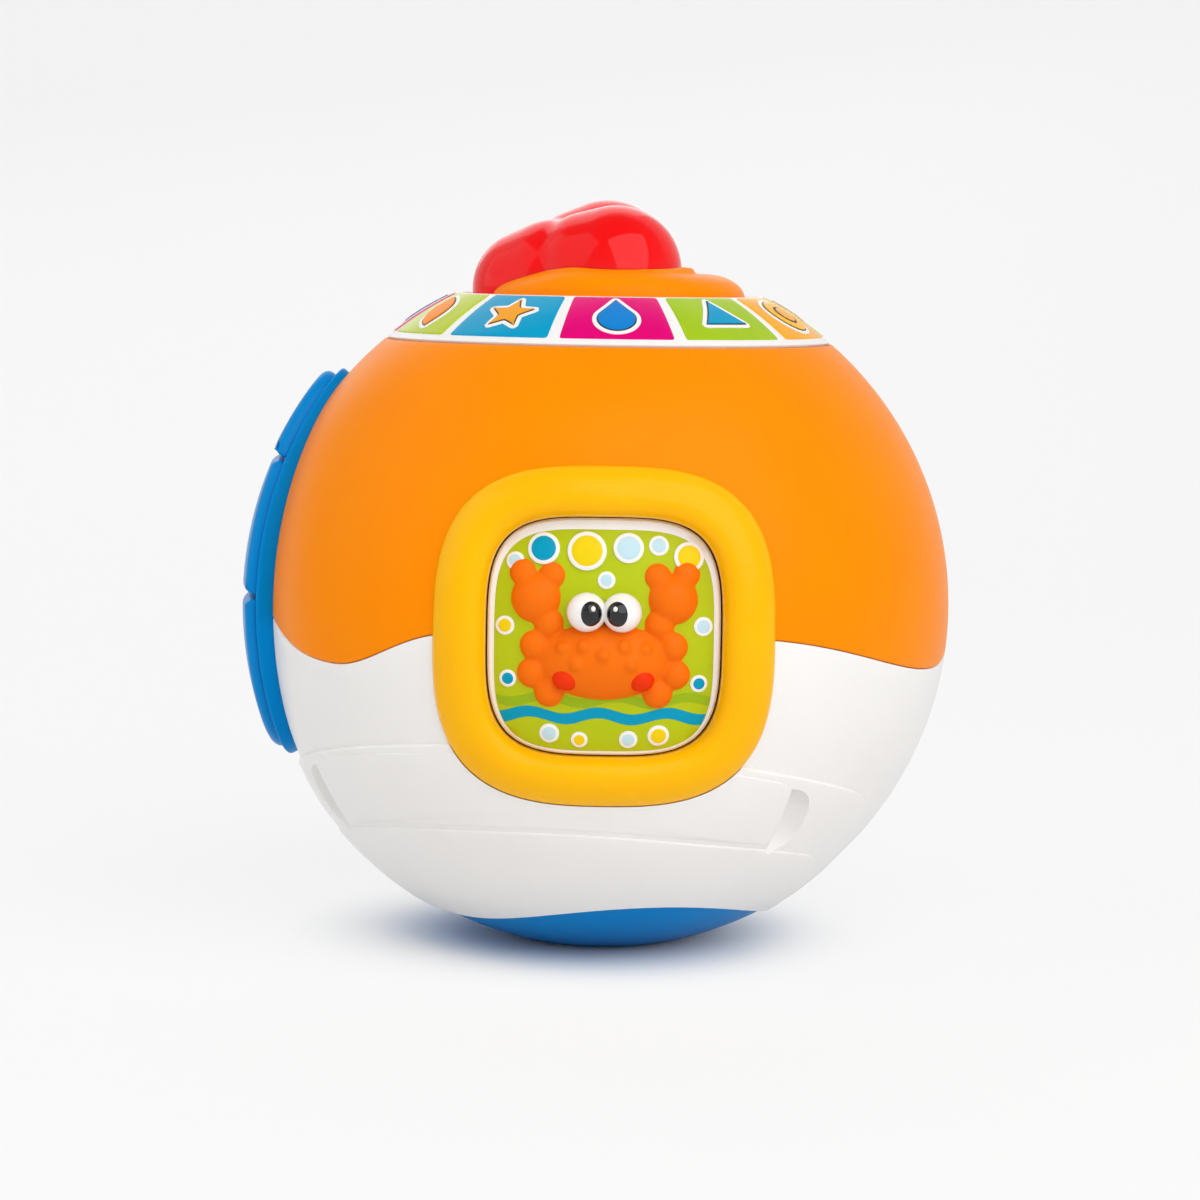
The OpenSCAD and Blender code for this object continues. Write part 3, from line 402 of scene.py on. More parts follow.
# %% [markdown]
# ## Pads on the ball
# Belly steps, key caps, ring windows and pictures are all pads: an outline on the globe, a rounded
# rim that follows it, and a top that is filled in to the middle. The rim is a list of insets and
# heights in millimetres, so one helper serves them all. Outlines are spaced evenly first, so that
# the inset can follow their normals.

# %% Outline and pad helpers
RIM_STEPS = 6


def closed_line(first, second):
    """A closed outline that runs along one edge and back along another, each given as x and y."""
    return np.concatenate([np.stack(first, 1), np.stack(second, 1)[::-1]])


def even_line(line, count, soften=0.0):
    """A closed outline of azimuth and latitude, spaced evenly, with its corners rounded by soften mm."""
    closed = np.vstack([line, line[:1]])
    squeeze = np.cos(np.radians(closed[:-1, 1]))
    steps = np.hypot(np.diff(closed[:, 0]) * squeeze, np.diff(closed[:, 1]))
    run = np.concatenate([[0], np.cumsum(steps)])
    at = np.linspace(0, run[-1], count, endpoint=False)
    even = np.stack([np.interp(at, run, closed[:, k]) for k in (0, 1)], axis=1)
    if soften:  # by a bell curve, cut off at three times its width
        reach = int(round(3 * arc(soften) / (run[-1] / count)))
        weights = np.exp(-0.5 * (np.arange(-reach, reach + 1) / (reach / 3)) ** 2)
        even = sum(w * np.roll(even, k - reach, axis=0) for k, w in enumerate(weights)) / weights.sum()
    return even


def inset_line(line, by):
    az, lat = line.T
    squeeze = np.cos(np.radians(lat))
    east = (np.roll(az, -1) - np.roll(az, 1)) * squeeze
    north = np.roll(lat, -1) - np.roll(lat, 1)
    step = arc(by) * np.sign(np.sum(az * north)) / np.maximum(np.hypot(east, north), 1e-9)
    return np.stack([az - north * step / squeeze, lat + east * step], axis=1)


def round_rim(foot, rise, edge, start=0.0):
    """A rim that stands on its foot and rounds over by edge mm, as insets and heights."""
    quarter = np.radians(np.linspace(0, 90, RIM_STEPS))
    over = [(start + edge * (1 - math.cos(a)), rise - edge * (1 - math.sin(a))) for a in quarter]
    return [(start, foot)] + over


def pad(name, line, rim, centre, ground=moulded_radius, fill=12, sharp=SHARP):
    lines = [inset_line(line, by) if by else line for by, _ in rim]
    heights = [height for _, height in rim]
    shares = np.linspace(0, 1, fill + 1)[1:]
    under = [lines[0] + (centre - lines[0]) * s for s in shares[::-1]]
    over = [lines[-1] + (centre - lines[-1]) * s for s in shares]
    lines = np.array(under + lines + over)
    heights = np.array([heights[0]] * fill + heights + [heights[-1]] * fill)
    radius = ground(lines[..., 0], lines[..., 1]) + heights[:, None]
    return grid_piece(name, toward(lines[..., 0], lines[..., 1]) * radius[..., None], sharp=sharp)


print("a rim 2 mm high with a 0.6 mm round:", np.round(round_rim(-1, 2, 0.6), 2).tolist())

# %% [markdown]
# ## The white belly
# The lower shell carries two arched steps in front and behind, each a millimetre thick, and a still
# finer panel between the finger scoops. They are moulded in one with the shell, so the pads are
# joined to it with the Boolean union. The scoops are cut after that: half a capsule each, with one
# straight side that leaves the crisp edge a finger pulls on.

# %% Belly steps
BELLY_AZ = -13.25
BELLY_SIDES = (BELLY_AZ, BELLY_AZ + 180)
# Each step's top, drop to the sides and half width in degrees, and its thickness in millimetres
STEPS = ((-17, 17.3, 79, 0.9), (-32.4, 13.5, 74, 1.35))
BELLY_CORNER, BELLY_FOOT, BELLY_MIDDLE = 14, -66.0, -48.0
STEP_SUNK, STEP_ROUND = -1.5, 0.55
TRIM_GAP, TRIM_END, TRIM_IN, TRIM_OUT = 0.9, -86.0, 60, 100
PANEL_HALF, PANEL_BELOW, PANEL_ABOVE, PANEL_MIDDLE = 46.5, 1.25, 0.9, -27.5
PANEL_SUNK, PANEL_RISE, PANEL_ROUND = -1.2, 1.14, 0.3


def step_top(step, d):
    top, drop, half, _ = STEPS[step]
    over = np.maximum(0, np.abs(d) - half + BELLY_CORNER)
    corner = BELLY_CORNER * (1 - np.sqrt(np.maximum(0, 1 - (over / BELLY_CORNER) ** 2)))
    return top - drop * (1 - np.cos(np.radians(d))) - corner


def base_zone():
    """The room of the base cap, to trim the steps along its wavy edge."""
    edge, end = base_lat(AZIMUTHS) + arc(TRIM_GAP), np.full(len(AZIMUTHS), TRIM_END)
    corners = ((edge, TRIM_IN), (edge, TRIM_OUT), (end, TRIM_OUT), (end, TRIM_IN))
    return grid_piece("base_zone", [toward(AZIMUTHS, lat) * r for lat, r in corners], loop=True)


def belly_step(step, az):
    _, _, half, thick = STEPS[step]
    d = half * np.sin(np.radians(np.linspace(-90, 90, 120)))
    line = closed_line((az + d, step_top(step, d)), (az + d, np.full(len(d), BELLY_FOOT)))
    line = even_line(line, 420, soften=0.5)
    rim = round_rim(STEP_SUNK, thick, STEP_ROUND)
    plate = pad("belly_step", line, rim, np.array([az, BELLY_MIDDLE]), fill=16)
    carve(plate, base_zone())
    return plate


def belly_panel(az):
    d = np.linspace(-PANEL_HALF, PANEL_HALF, 90)
    line = closed_line((az + d, step_top(0, d) - PANEL_BELOW), (az + d, step_top(1, d) + PANEL_ABOVE))
    line = even_line(line, 300, soften=1.4)
    rim = round_rim(PANEL_SUNK, PANEL_RISE, PANEL_ROUND)
    return pad("belly_panel", line, rim, np.array([az, PANEL_MIDDLE]), fill=14)


for az in BELLY_SIDES:
    for plate in (belly_step(0, az), belly_panel(az), belly_step(1, az)):
        carve(lower, plate, "UNION")
print("white shell with its belly steps:", len(lower.data.polygons), "faces")


# %% Finger scoops
def on_ball(az, lat, x, y, height):
    """Points x mm to the east and y mm to the north of a place, at a height from the ball's centre."""
    a, b = math.radians(az), math.radians(lat)
    east = np.array([math.cos(a), math.sin(a), 0])
    north = np.array([-math.sin(a) * math.sin(b), math.cos(a) * math.sin(b), math.cos(b)])
    parts = ((x, east), (y, north), (height, toward(az, lat)))
    return sum(np.asarray(amount, float)[..., None] * way for amount, way in parts)


SCOOP_D, SCOOP_LAT, SCOOP_DEPTH, SCOOP_R, SCOOP_STRAIGHT = 47.5, -31, 4, 9.03, 4


def scoop(side, az):
    end, about = np.radians(np.linspace(0, 180, 41)), np.radians(np.arange(0, 360, 7.5))
    end, about = np.meshgrid(end, about, indexing="ij")
    x = side * np.maximum(SCOOP_R * np.sin(end) * np.cos(about), 0)
    y = SCOOP_R * np.cos(end) + np.sign(np.cos(end)) * SCOOP_STRAIGHT / 2
    depth = SCOOP_R * np.sin(end) * np.sin(about)
    return grid_piece("scoop", on_ball(az, SCOOP_LAT, x, y, BALL_R + SCOOP_R - SCOOP_DEPTH + depth))


for az in BELLY_SIDES:
    for side in (-1, 1):
        carve(lower, scoop(side, az + side * SCOOP_D))
print("scoops cut:", 2 * len(BELLY_SIDES))

# %% [markdown]
# ## Windows in the shells
# The front frame, the side keys, the grille and the switch all need openings. The front one is a
# rounded square, the side one an egg, and both go right through. The grille is a centre hole with
# rings of six and twelve round it, set by the tree that makes copies.

# %% Front window
FRAME_HALF, FRAME_POWER, FRAME_GAP = 40, 3, 0.02
OPENING_W, OPENING_H, OPENING_POWER = 27.6, 28.2, 3.6
CUT_IN, CUT_OUT = 50, 100


def rounded_square(half_w, half_h, power, count=240):
    t = np.linspace(0, 2 * np.pi, count, endpoint=False)
    across = np.sign(np.cos(t)) * np.abs(np.cos(t)) ** (2 / power)
    up = np.sign(np.sin(t)) * np.abs(np.sin(t)) ** (2 / power)
    return np.stack([half_w * across, half_h * up], axis=1)


def block(low, high, size=1):
    """A straight block with closed ends, as sizes and heights."""
    return [(0, low), (size, low), (size, high), (0, high)]


def at_front(flat, height):
    """Points across and up on the front, at a height from the ball's centre."""
    height = np.broadcast_to(height, flat.shape[:-1])
    return np.stack([flat[..., 0], -height, flat[..., 1]], axis=-1)


window_half = FRAME_HALF + FRAME_GAP
window_line = rounded_square(window_half, window_half, FRAME_POWER)
for shell in (upper, lower):
    rows = [at_front(window_line * size, height) for size, height in block(CUT_IN, CUT_OUT)]
    carve(shell, grid_piece("front_block", rows))
print("front window:", 2 * window_half, "mm wide")

# %% Side window
EGG_LAT, EGG_H, EGG_W, EGG_TAPER = 7.2, 34, 17, 0.25
EGG_CUT = [(0, -14), (0, 9)]


def egg():
    t = np.linspace(0, 2 * np.pi, 1600, endpoint=False)
    lat = EGG_LAT + EGG_H * np.sin(t)
    across = EGG_W * np.cos(t) * (1 - EGG_TAPER * np.sin(t))
    return np.stack([SIDE_AZ + across / np.cos(np.radians(lat)), lat], axis=1)


EGG = even_line(egg(), 300)
EGG_CENTRE = np.array([SIDE_AZ, EGG_LAT])
for shell in (upper, lower):
    carve(shell, pad("egg_block", inset_line(EGG, -PARTING), EGG_CUT, EGG_CENTRE, true_radius))
print("side window spans latitudes", EGG[:, 1].min().round(1), "to", EGG[:, 1].max().round(1))

# %% Grille holes and switch pocket
SPEAKER_LAT, GRILLE_HOLE, GRILLE_PITCH, GRILLE_LEVEL = 24, 1.5, 5.4, 80.0
DRILL_IN, DRILL_OUT = -6, 12
SWITCH_LAT, SWITCH_LEVEL, SWITCH_POWER = -11, BALL_R - 2.4, 7
POCKET_W, POCKET_H, POCKET_TALL = 13, 6, 10.9


def lathe(name, outline, loop=False, turns=24, lift=0.0):
    """A piece turned about +Z from radius and height pairs. Heights start at the floor, plus the lift."""
    t = np.linspace(0, 2 * np.pi, turns, endpoint=False)
    rows = [np.stack([r * np.cos(t), r * np.sin(t), 0 * t + z - CENTRE_Z + lift], axis=1) for r, z in outline]
    return grid_piece(name, rows, loop)


def cut_copies(piece, tool, lat, x, y, level):
    """Cuts copies of a tool into a piece, x and y millimetres from a spot on the control side."""
    places = in_metres(on_ball(CONTROL_AZ, lat, x, y, level))
    turns = facing([toward(CONTROL_AZ, lat)] * len(places))
    carve(piece, copies("cuts", tool, places, turns, DARK))


def slab(line, levels, lift):
    """Rows of an outline, sized by shares, that stand over the switch at heights above a lift."""
    return [on_ball(CONTROL_AZ, SWITCH_LAT, *(line * size).T, lift + height) for size, height in levels]


spots = np.array([(0, 0)] + [
    (GRILLE_PITCH * ring * math.cos(a), GRILLE_PITCH * ring * math.sin(a))
    for ring in (1, 2)
    for a in np.radians(np.arange(0, 360, 60 / ring))
])
drill = lathe("drill", block(DRILL_IN, DRILL_OUT, GRILLE_HOLE))
cut_copies(upper, drill, SPEAKER_LAT, *spots.T, GRILLE_LEVEL)
pocket = rounded_square(POCKET_W, POCKET_H, SWITCH_POWER, 120)
carve(lower, grid_piece("pocket", slab(pocket, block(0, POCKET_TALL), SWITCH_LEVEL)))
hand_over(upper, ORANGE, "ball", "orange_plastic", "upper_shell")
hand_over(lower, WHITE, "ball", "white_plastic", "lower_shell")

# %% [markdown]
# ## The blue base
# The base is the battery cover: a cap with the same wavy edge as the shell above it, a flat foot and
# two counterbored screws behind. A peg holds its front. It is one skin of rows, from the middle of
# its inner floor up to the rim and down outside to the foot.

# %% Base cap
FOOT_LAT = -math.degrees(math.asin(CENTRE_Z / BALL_R))
BASE_ROWS, BASE_WALL = 23, 3
BASE_SCREW_R, COUNTERBORE_R, BORE_ROOF, BORE_LONG = 46.0, 3.5, -68, 40
rim = base_lat(AZIMUTHS) - arc(PARTING / 2)
lats = [rim - back for back in EDGE_BACK]
lats += [lats[-1] + (FOOT_LAT - lats[-1]) * s for s in np.linspace(0, 1, BASE_ROWS + 1)[1:]]
sunk = EDGE_SUNK + [0] * BASE_ROWS
outer = [toward(AZIMUTHS, lat) * (moulded_radius(AZIMUTHS, lat) - s)[..., None] for lat, s in zip(lats, sunk)]
foot = [outer[-1] * (s, s, 1) for s in (0.96, 0.7, 0.35, 0)]
inner = [toward(AZIMUTHS, rim + (FOOT_LAT - rim) * s) * (BALL_R - BASE_WALL) for s in np.linspace(1, 0, 6)]
floor_rows = [inner[0] * (s, s, 1) for s in (0, 0.5)]
base = grid_piece("base", floor_rows + inner + outer + foot)
bore = lathe("bore", block(-BORE_LONG, 0, COUNTERBORE_R), turns=40)
screw_az = BASE_CREST_AZ + np.array([120, 240])
places = in_metres(toward(screw_az, 0 * screw_az) * BASE_SCREW_R + (0, 0, BORE_ROOF))
carve(base, copies("bores", bore, places, [(0, 0, 0)] * len(places), STEEL))
hand_over(base, BASE_BLUE, "ball", "base_blue_plastic", "base_cap")

# %% [markdown]
# ## The light ring
# A white ring frames eleven clear coloured windows, with lamps behind them. The ring is turned in one
# go from its section. Each window is a thin pad that fills its bay, and its picture is built up like
# a print with relief: a white edge, a thin dark line, then the colour. One of each is drawn at the
# front, and the tree turns copies of it round the ball's axis into their bays.

# %% Ring frame and window finishes
RING_WALL, RING_SUNK, RING_DROP, GAP_BELOW, GAP_ABOVE = 2.4, 0.5, 0.25, 0.35, 0.2
# Radius and height of the ring's inner lip, down to its back
RING_LIP = [(38.0, 78.55), (37.45, 78.2), (37.4, 72.0), (39.4, 72.0)]
arc_up = np.radians(np.linspace(RING_LOW + GAP_BELOW, RING_HIGH - GAP_ABOVE, 26))


def on_arc(r, angles, drop=0.0):
    return [(r * math.cos(a), r * math.sin(a) - drop) for a in angles]


section = on_arc(BALL_R - RING_SUNK, arc_up[:1], RING_DROP) + on_arc(BALL_R, arc_up) + RING_LIP
section += on_arc(BALL_R - RING_WALL, arc_up[::-5])
ring = lathe("ring", section, loop=True, turns=220, lift=CENTRE_Z)
hand_over(ring, WHITE, "ball", "white_plastic", "ring_frame")
# Clear tinted polycarbonate: deep colour under a hard gloss, with the lamps' frosting as faint clouds.
window_look = {"rough": (0.16, 0.22), "ripple": 0.08, "cloud_mm": 4, "gloss": 0.07}
LIME = plastic("lime polycarbonate", "#BECD1E", "#B0C418", **window_look)
RING_BLUE = plastic("blue polycarbonate", "#00A0C8", "#0094C2", **window_look)
MAGENTA = plastic("magenta polycarbonate", "#E60078", "#D8006E", **window_look)
GREEN = plastic("green polycarbonate", "#A9C81E", "#9CBE18", **window_look)
AMBER = plastic("amber polycarbonate", "#FAB010", "#F4A40A", **window_look)
# Pad-printed ink: flat, even and a little less shiny than the window under it.
ink_rough = (0.35, 0.45)
INK_WHITE = plastic("white printing ink", "#F6F4F0", "#F1EFEB", ink_rough)
INK_DARK = plastic("dark printing ink", "#3A3234", "#302A2C", ink_rough)
INK_BLUE = plastic("blue printing ink", "#0082D2", "#007AC8", ink_rough)
INK_GOLD = plastic("gold printing ink", "#F5A516", "#EE9A10", ink_rough)

# %% Window pads
WINDOWS, WINDOW_AZ, WINDOW_BAR = 11, 2.2, 2.6
WINDOW_SUNK, WINDOW_RISE, WINDOW_ROUND = -1.1, 0.2, 0.25
WINDOW_LOW, WINDOW_HIGH = RING_LOW + 1.7, RING_HIGH - 0.5
WINDOW_LAT = (WINDOW_LOW + WINDOW_HIGH) / 2
PITCH = 360 / WINDOWS
WINDOW_KINDS = (
    ("lime", LIME, "lime_plastic", "tiles_lime"),
    ("blue", RING_BLUE, "ring_blue_plastic", "tiles_blue"),
    ("magenta", MAGENTA, "magenta_plastic", "tiles_magenta"),
    ("green", GREEN, "green_plastic", "tiles_green"),
    ("amber", AMBER, "amber_plastic", "tiles_yellow"),
)
KIND_OF_BAY = (2, 3, 4, 0, 1, 2, 3, 4, 2, 0, 1)


def round_the_ring(name, original, kind, material):
    """Copies of a piece drawn at the front, turned into every bay of one kind."""
    bays = [i for i in range(WINDOWS) if KIND_OF_BAY[i] == kind]
    turned = [(0, 0, math.radians(WINDOW_AZ + PITCH * i)) for i in bays]
    return copies(name, original, [(0, 0, 0)] * len(bays), turned, material)


half_az = PITCH / 2 - arc(WINDOW_BAR / 2) / math.cos(math.radians(WINDOW_LAT))
sides = np.array([-half_az, half_az])
bay = closed_line((sides, np.full(2, WINDOW_LOW)), (sides, np.full(2, WINDOW_HIGH)))
bay = even_line(bay, 160, soften=0.55)
rim = round_rim(WINDOW_SUNK, WINDOW_RISE, WINDOW_ROUND)
for kind, (name, material, slot, node) in enumerate(WINDOW_KINDS):
    window = pad("window", bay, rim, np.array([0, WINDOW_LAT]), true_radius, fill=8)
    hand_over(round_the_ring("window_" + name, window, kind, material), material, "ball", slot, node)

# %% Outlines of the pictures
ICON = 13
spin = np.radians(np.linspace(0, 360, 180, endpoint=False))


def at_angles(reach, angles):
    """Points at a reach from the middle, with angles that start at the top and run to the right."""
    return np.stack([reach * np.sin(angles), reach * np.cos(angles)], axis=1)


def leaf_line():
    width, length, lean = ICON * 0.33, ICON * 0.57, math.radians(25)
    y = length * np.cos(spin)
    x = np.sign(np.sin(spin)) * width * (1 - (np.abs(y) / length) ** 2)
    leaned = (x * math.cos(lean) - y * math.sin(lean), x * math.sin(lean) + y * math.cos(lean))
    return np.stack(leaned, axis=1)


def star_line():
    corner = np.arange(10)
    return at_angles(np.where(corner % 2 == 0, ICON / 2, ICON / 4.2), 0.2 * np.pi * corner)


def drop_line():
    r, tip = ICON * 0.38, ICON * 0.68
    touch = math.acos(r / tip)
    below = np.linspace(touch, 2 * math.pi - touch, 60)
    return np.vstack([[0, tip], at_angles(r, below)]) - (0, ICON * 0.12)


triangle = at_angles(ICON * 0.56, np.radians([0, 120, 240]))
circle = at_angles(1, spin)
PICTURES = (
    ("leaf", leaf_line(), ORANGE, "orange_plastic", "leaf_icons"),
    ("star", star_line(), INK_GOLD, "amber_plastic", "star_icons"),
    ("drop", drop_line(), INK_BLUE, "blue_plastic", "drop_icons"),
    ("triangle", triangle, RING_BLUE, "ring_blue_plastic", "triangle_icons"),
    ("hoop", circle * ICON / 2, YELLOW, "yellow_plastic", "hoop_icons"),
)
HOOP = len(PICTURES) - 1
print("pictures:", [name for name, *_ in PICTURES])

# %% Pictures on the windows
# How far each layer grows past its outline and how high it stands, in millimetres
EDGE_LAYER, LINE_LAYER, COLOUR_LAYER = (0.95, 0.42), (-0.1, 0.55), (-0.4, 0.7)
LAYER_FOOT, LAYER_ROUND = 0.1, 0.12


def print_layer(name, line, grow, rise, kind, ink, slot, *nodes):
    """One layer of a picture, drawn at the front and copied into the bays of its kind."""
    lat = WINDOW_LAT + np.degrees(line[:, 1] / BALL_R)
    placed = np.stack([np.degrees(line[:, 0] / BALL_R) / np.cos(np.radians(lat)), lat], 1)
    placed = even_line(placed, 150, soften=0.3)
    rim = round_rim(LAYER_FOOT, rise, LAYER_ROUND, start=-grow)
    drawn = pad("picture", placed, rim, np.array([0, WINDOW_LAT]), true_radius, fill=6)
    hand_over(round_the_ring(name, drawn, kind, ink), ink, "ball", slot, *nodes)


for kind, (name, line, ink, slot, node) in enumerate(PICTURES):
    print_layer(name + "_edge", line, *EDGE_LAYER, kind, INK_WHITE, "white_plastic")
    print_layer(name + "_line", line, *LINE_LAYER, kind, INK_DARK, "dark_plastic")
    print_layer(name + "_picture", line, *COLOUR_LAYER, kind, ink, slot, node)
print_layer("hoop_inner_line", circle * ICON * 0.27, 0, 0.78, HOOP, INK_DARK, "dark_plastic")
print_layer("hoop_middle", circle * ICON * 0.22, 0, 0.88, HOOP, AMBER, "amber_plastic")

# %% [markdown]
# ## The heart button and its cap
# Three puffy limbs melt into one heart-shaped button that presses down through an orange cap: two
# lobes on the right and a lower tail on the left. Each limb is a row of round-topped posts, and a soft
# minimum melts the limbs together and leaves a shallow crease. Rays from a point inside find that
# surface, which gives clean rows for the dome and the skirt. The cap is drawn the same way round: from
# the heart's own outline, plus a gap, out to the brim.

# %% Heart form
# Both ends of each limb, as x, y, radius and the height where its dome starts
LIMBS = np.array([
    [(-4.5, -6.6, 15.4, 84.0), (1.6, -8.36, 16.5, 84.4)],
    [(-5.6, 6.5, 16.0, 84.4), (-0.6, 8.2, 16.6, 85.8)],
    [(-20.0, 1.0, 14.7, 79.8), (-14.0, -2.0, 15.2, 82.0)],
])
LIMB_POSTS, LIMB_BLEND = 9, 1.2
HEART_X, HEART_MID, HEART_FOOT, HEART_ROOF, HOLLOW_SHARE = -6.0, 80.0, 75.4, 79.5, 0.93
RAY_END, HALVINGS = 60.0, 40


def heart_depth(points):
    """How far points are outside the heart: below nought is inside."""
    depth = None
    for first, last in LIMBS:
        limb = np.inf
        for x, y, r, top in np.linspace(first, last, LIMB_POSTS):
            over = np.maximum(points[..., 2] - top, 0)
            gap = np.sqrt((points[..., 0] - x) ** 2 + (points[..., 1] - y) ** 2 + over**2) - r
            limb = np.minimum(limb, gap)
        depth = limb if depth is None else soft_min(depth, limb, LIMB_BLEND)
    return depth


def heart_reach(level, ways, outside=0.0):
    """Where rays from the middle of the heart, at a level, come out of it."""
    start = np.array([HEART_X, 0, level])
    near, far = np.zeros(ways.shape[:-1]), np.full(ways.shape[:-1], RAY_END)
    for _ in range(HALVINGS):
        middle = (near + far) / 2
        inside = heart_depth(start + ways * middle[..., None]) < outside
        near, far = np.where(inside, middle, near), np.where(inside, far, middle)
    return start + ways * near[..., None]


turn = np.radians(np.linspace(0, 360, 280, endpoint=False))
flat_ways = np.stack([np.cos(turn), np.sin(turn), 0 * turn], axis=1)
skirt = [heart_reach(level, flat_ways) for level in (HEART_FOOT, 77, 78.5)]
rise = np.radians(np.linspace(0, 90, 90))
dome = [heart_reach(HEART_MID, flat_ways * math.cos(a) + (0, 0, math.sin(a))) for a in rise]
hollow = [(share, HEART_ROOF) for share in (0, 0.5, HOLLOW_SHARE)] + [(HOLLOW_SHARE, HEART_FOOT)]
under = []
for share, level in hollow:
    shrunk = skirt[0][:, :2] * share + np.array([HEART_X, 0]) * (1 - share)
    under.append(np.column_stack([shrunk, np.full(len(turn), level)]))
heart = grid_piece("heart", under + skirt + dome, sharp=60)
hand_over(heart, RED, "heart", "red_plastic", "heart_button")

# %% Cap round the heart
CAP_TOP, BRIM_Z, BRIM_R = 85.245, 77.645, 37.06
CAP_R, CAP_SHIFT, SHOULDER, CAP_WALL = 32.8, 1.6, 10.0, 2.2
LIP, LIP_W, LIP_PAST, LIP_FADE = 1.4, 3.0, 3.2, 3
HOLE_LEVEL, HEART_GAP = 79.0, 0.6
# How far the crown drops, and between which x it does so
CROWN_DROPS = ((1.2, 8, 24), (2.2, -8, -28))


def ease(x, start, end):
    share = np.clip((x - start) / (end - start), 0, 1)
    return share * share * (3 - 2 * share)


def cap_height(spot, r):
    """The crown of the cap, a little lower on the right and lower still under the tail."""
    over = np.clip((r - (CAP_R - SHOULDER)) / SHOULDER, 0, 1)
    drop = sum(deep * ease(spot[:, 0], start, end) for deep, start, end in CROWN_DROPS)
    crown = CAP_TOP - drop - BRIM_Z
    return np.where(r < CAP_R, BRIM_Z + crown * np.sqrt(np.maximum(0, 1 - over**2)), BRIM_Z)


hole = heart_reach(HOLE_LEVEL, flat_ways, outside=HEART_GAP)
start = np.linalg.norm(hole - (HEART_X, 0, HOLE_LEVEL), axis=1)
away = HEART_X * np.cos(turn)
brim = -away + np.sqrt(away**2 - HEART_X**2 + BRIM_R**2)
rows = []
for share in np.concatenate([np.linspace(0, 0.25, 14), np.linspace(0.25, 1, 40)[1:]]):
    out = start + (brim - start) * share
    spot = np.stack([HEART_X + out * np.cos(turn), out * np.sin(turn)], axis=1)
    r = np.hypot(spot[:, 0] - CAP_SHIFT, spot[:, 1])
    lip = LIP * np.clip(1 - (np.abs(out - start - LIP_W / 2) / (LIP_W / 2)) ** 3, 0, 1)
    lip *= np.clip((CAP_R - SHOULDER + LIP_PAST - r) / LIP_FADE, 0, 1)
    rows.append(np.column_stack([spot, cap_height(spot, r) + lip]))
under = [row - (0, 0, CAP_WALL) for row in rows[::-6] + rows[:1]]
cap = grid_piece("cap", rows + under, loop=True, sharp=50)
hand_over(cap, ORANGE, "ball", "orange_plastic", "top_cap")

# %% [markdown]
# ## The yellow frame
# The frame is a puffy band round the opening, like a little pillow bent into a rounded square. Its
# section rises steeply from the shell, crests nearer the outside and rolls down into the opening,
# where it goes on as the neck that guides the panel. The rows sweep that section round.

# %% Front frame
CREST, CREST_AT, FRAME_LIP, FRAME_SUNK = 3.6, 0.45, 2.6, 3.6
NECK_BACK, NECK_WALL, NECK_SUNK = 65.05, 2.0, 6.5


def flat_level(flat):
    return FLAT_BACK + np.sqrt(FLAT_R**2 - (flat**2).sum(-1))


outer_line = rounded_square(FRAME_HALF, FRAME_HALF, FRAME_POWER, 320)
inner_line = rounded_square(OPENING_W, OPENING_H, OPENING_POWER, 320)
quarter = np.radians(np.linspace(0, 90, 18))
section = [(CREST_AT * (1 - math.cos(a)), CREST * math.sin(a)) for a in quarter]
for a in quarter[1:]:
    share = CREST_AT + (1 - CREST_AT) * math.sin(a)
    section.append((share, (CREST + FRAME_LIP) * math.cos(a) - FRAME_LIP))
rows = [at_front(outer_line, flat_level(outer_line) - FRAME_SUNK)]
for share, height in section:
    flat = outer_line + (inner_line - outer_line) * share
    rows.append(at_front(flat, flat_level(flat) + height))
neck_line = inner_line * ((OPENING_W + NECK_WALL) / OPENING_W, (OPENING_H + NECK_WALL) / OPENING_H)
rows += [at_front(inner_line, NECK_BACK), at_front(neck_line, NECK_BACK)]
rows += [at_front(neck_line, flat_level(neck_line) - NECK_SUNK)]
front = grid_piece("front_pillow", rows, loop=True, sharp=50)
hand_over(front, YELLOW, "ball", "yellow_plastic", "front_frame")

# %% [markdown]
# ## The crab panel
# Behind the frame sits a gently domed white plate that presses in. It carries a printed field with
# bubbles and waves, and a soft crab in relief. The crab is a plain one of its own: rounded lumps for
# body, claws and legs are joined, remeshed to one skin and smoothed, as a soft moulded toy would be.

# %% Panel plate and its print
PLATE_INSET, PLATE_T, PLATE_GAP = 3.6, 1.6, 0.4
FIELD_W, FIELD_H, FIELD_POWER, FIELD_Y = 25.6, 26.0, 3.9, -0.8
FIELD_SUNK, FIELD_RISE, PLATE_EDGE = -0.4, 0.12, 0.5


def panel_level(flat):
    return FLAT_BACK + np.sqrt((FLAT_R - PLATE_INSET) ** 2 - (flat**2).sum(-1))


def on_panel(name, rows):
    """A piece from outlines across and up, each at a height over the domed panel."""
    return grid_piece(name, [at_front(flat, panel_level(flat) + height) for flat, height in rows])


def panel_layer(name, line, low, high, middle=(0.0, 0.0), edge=0.1, fill=20):
    """A layer that lies on the panel, filled in from its outline to its middle."""
    middle = np.array(middle)
    shares = np.linspace(0, 1, fill + 1)[1:]
    shrunk = middle + (line - middle) * (1 - edge / np.linalg.norm(line - middle, axis=1).mean())
    rows = [(middle + (line - middle) * (1 - s), low) for s in shares[::-1]]
    rows += [(line, low), (line, high - edge), (shrunk, high)]
    rows += [(shrunk + (middle - shrunk) * s, high) for s in shares]
    return on_panel(name, rows)
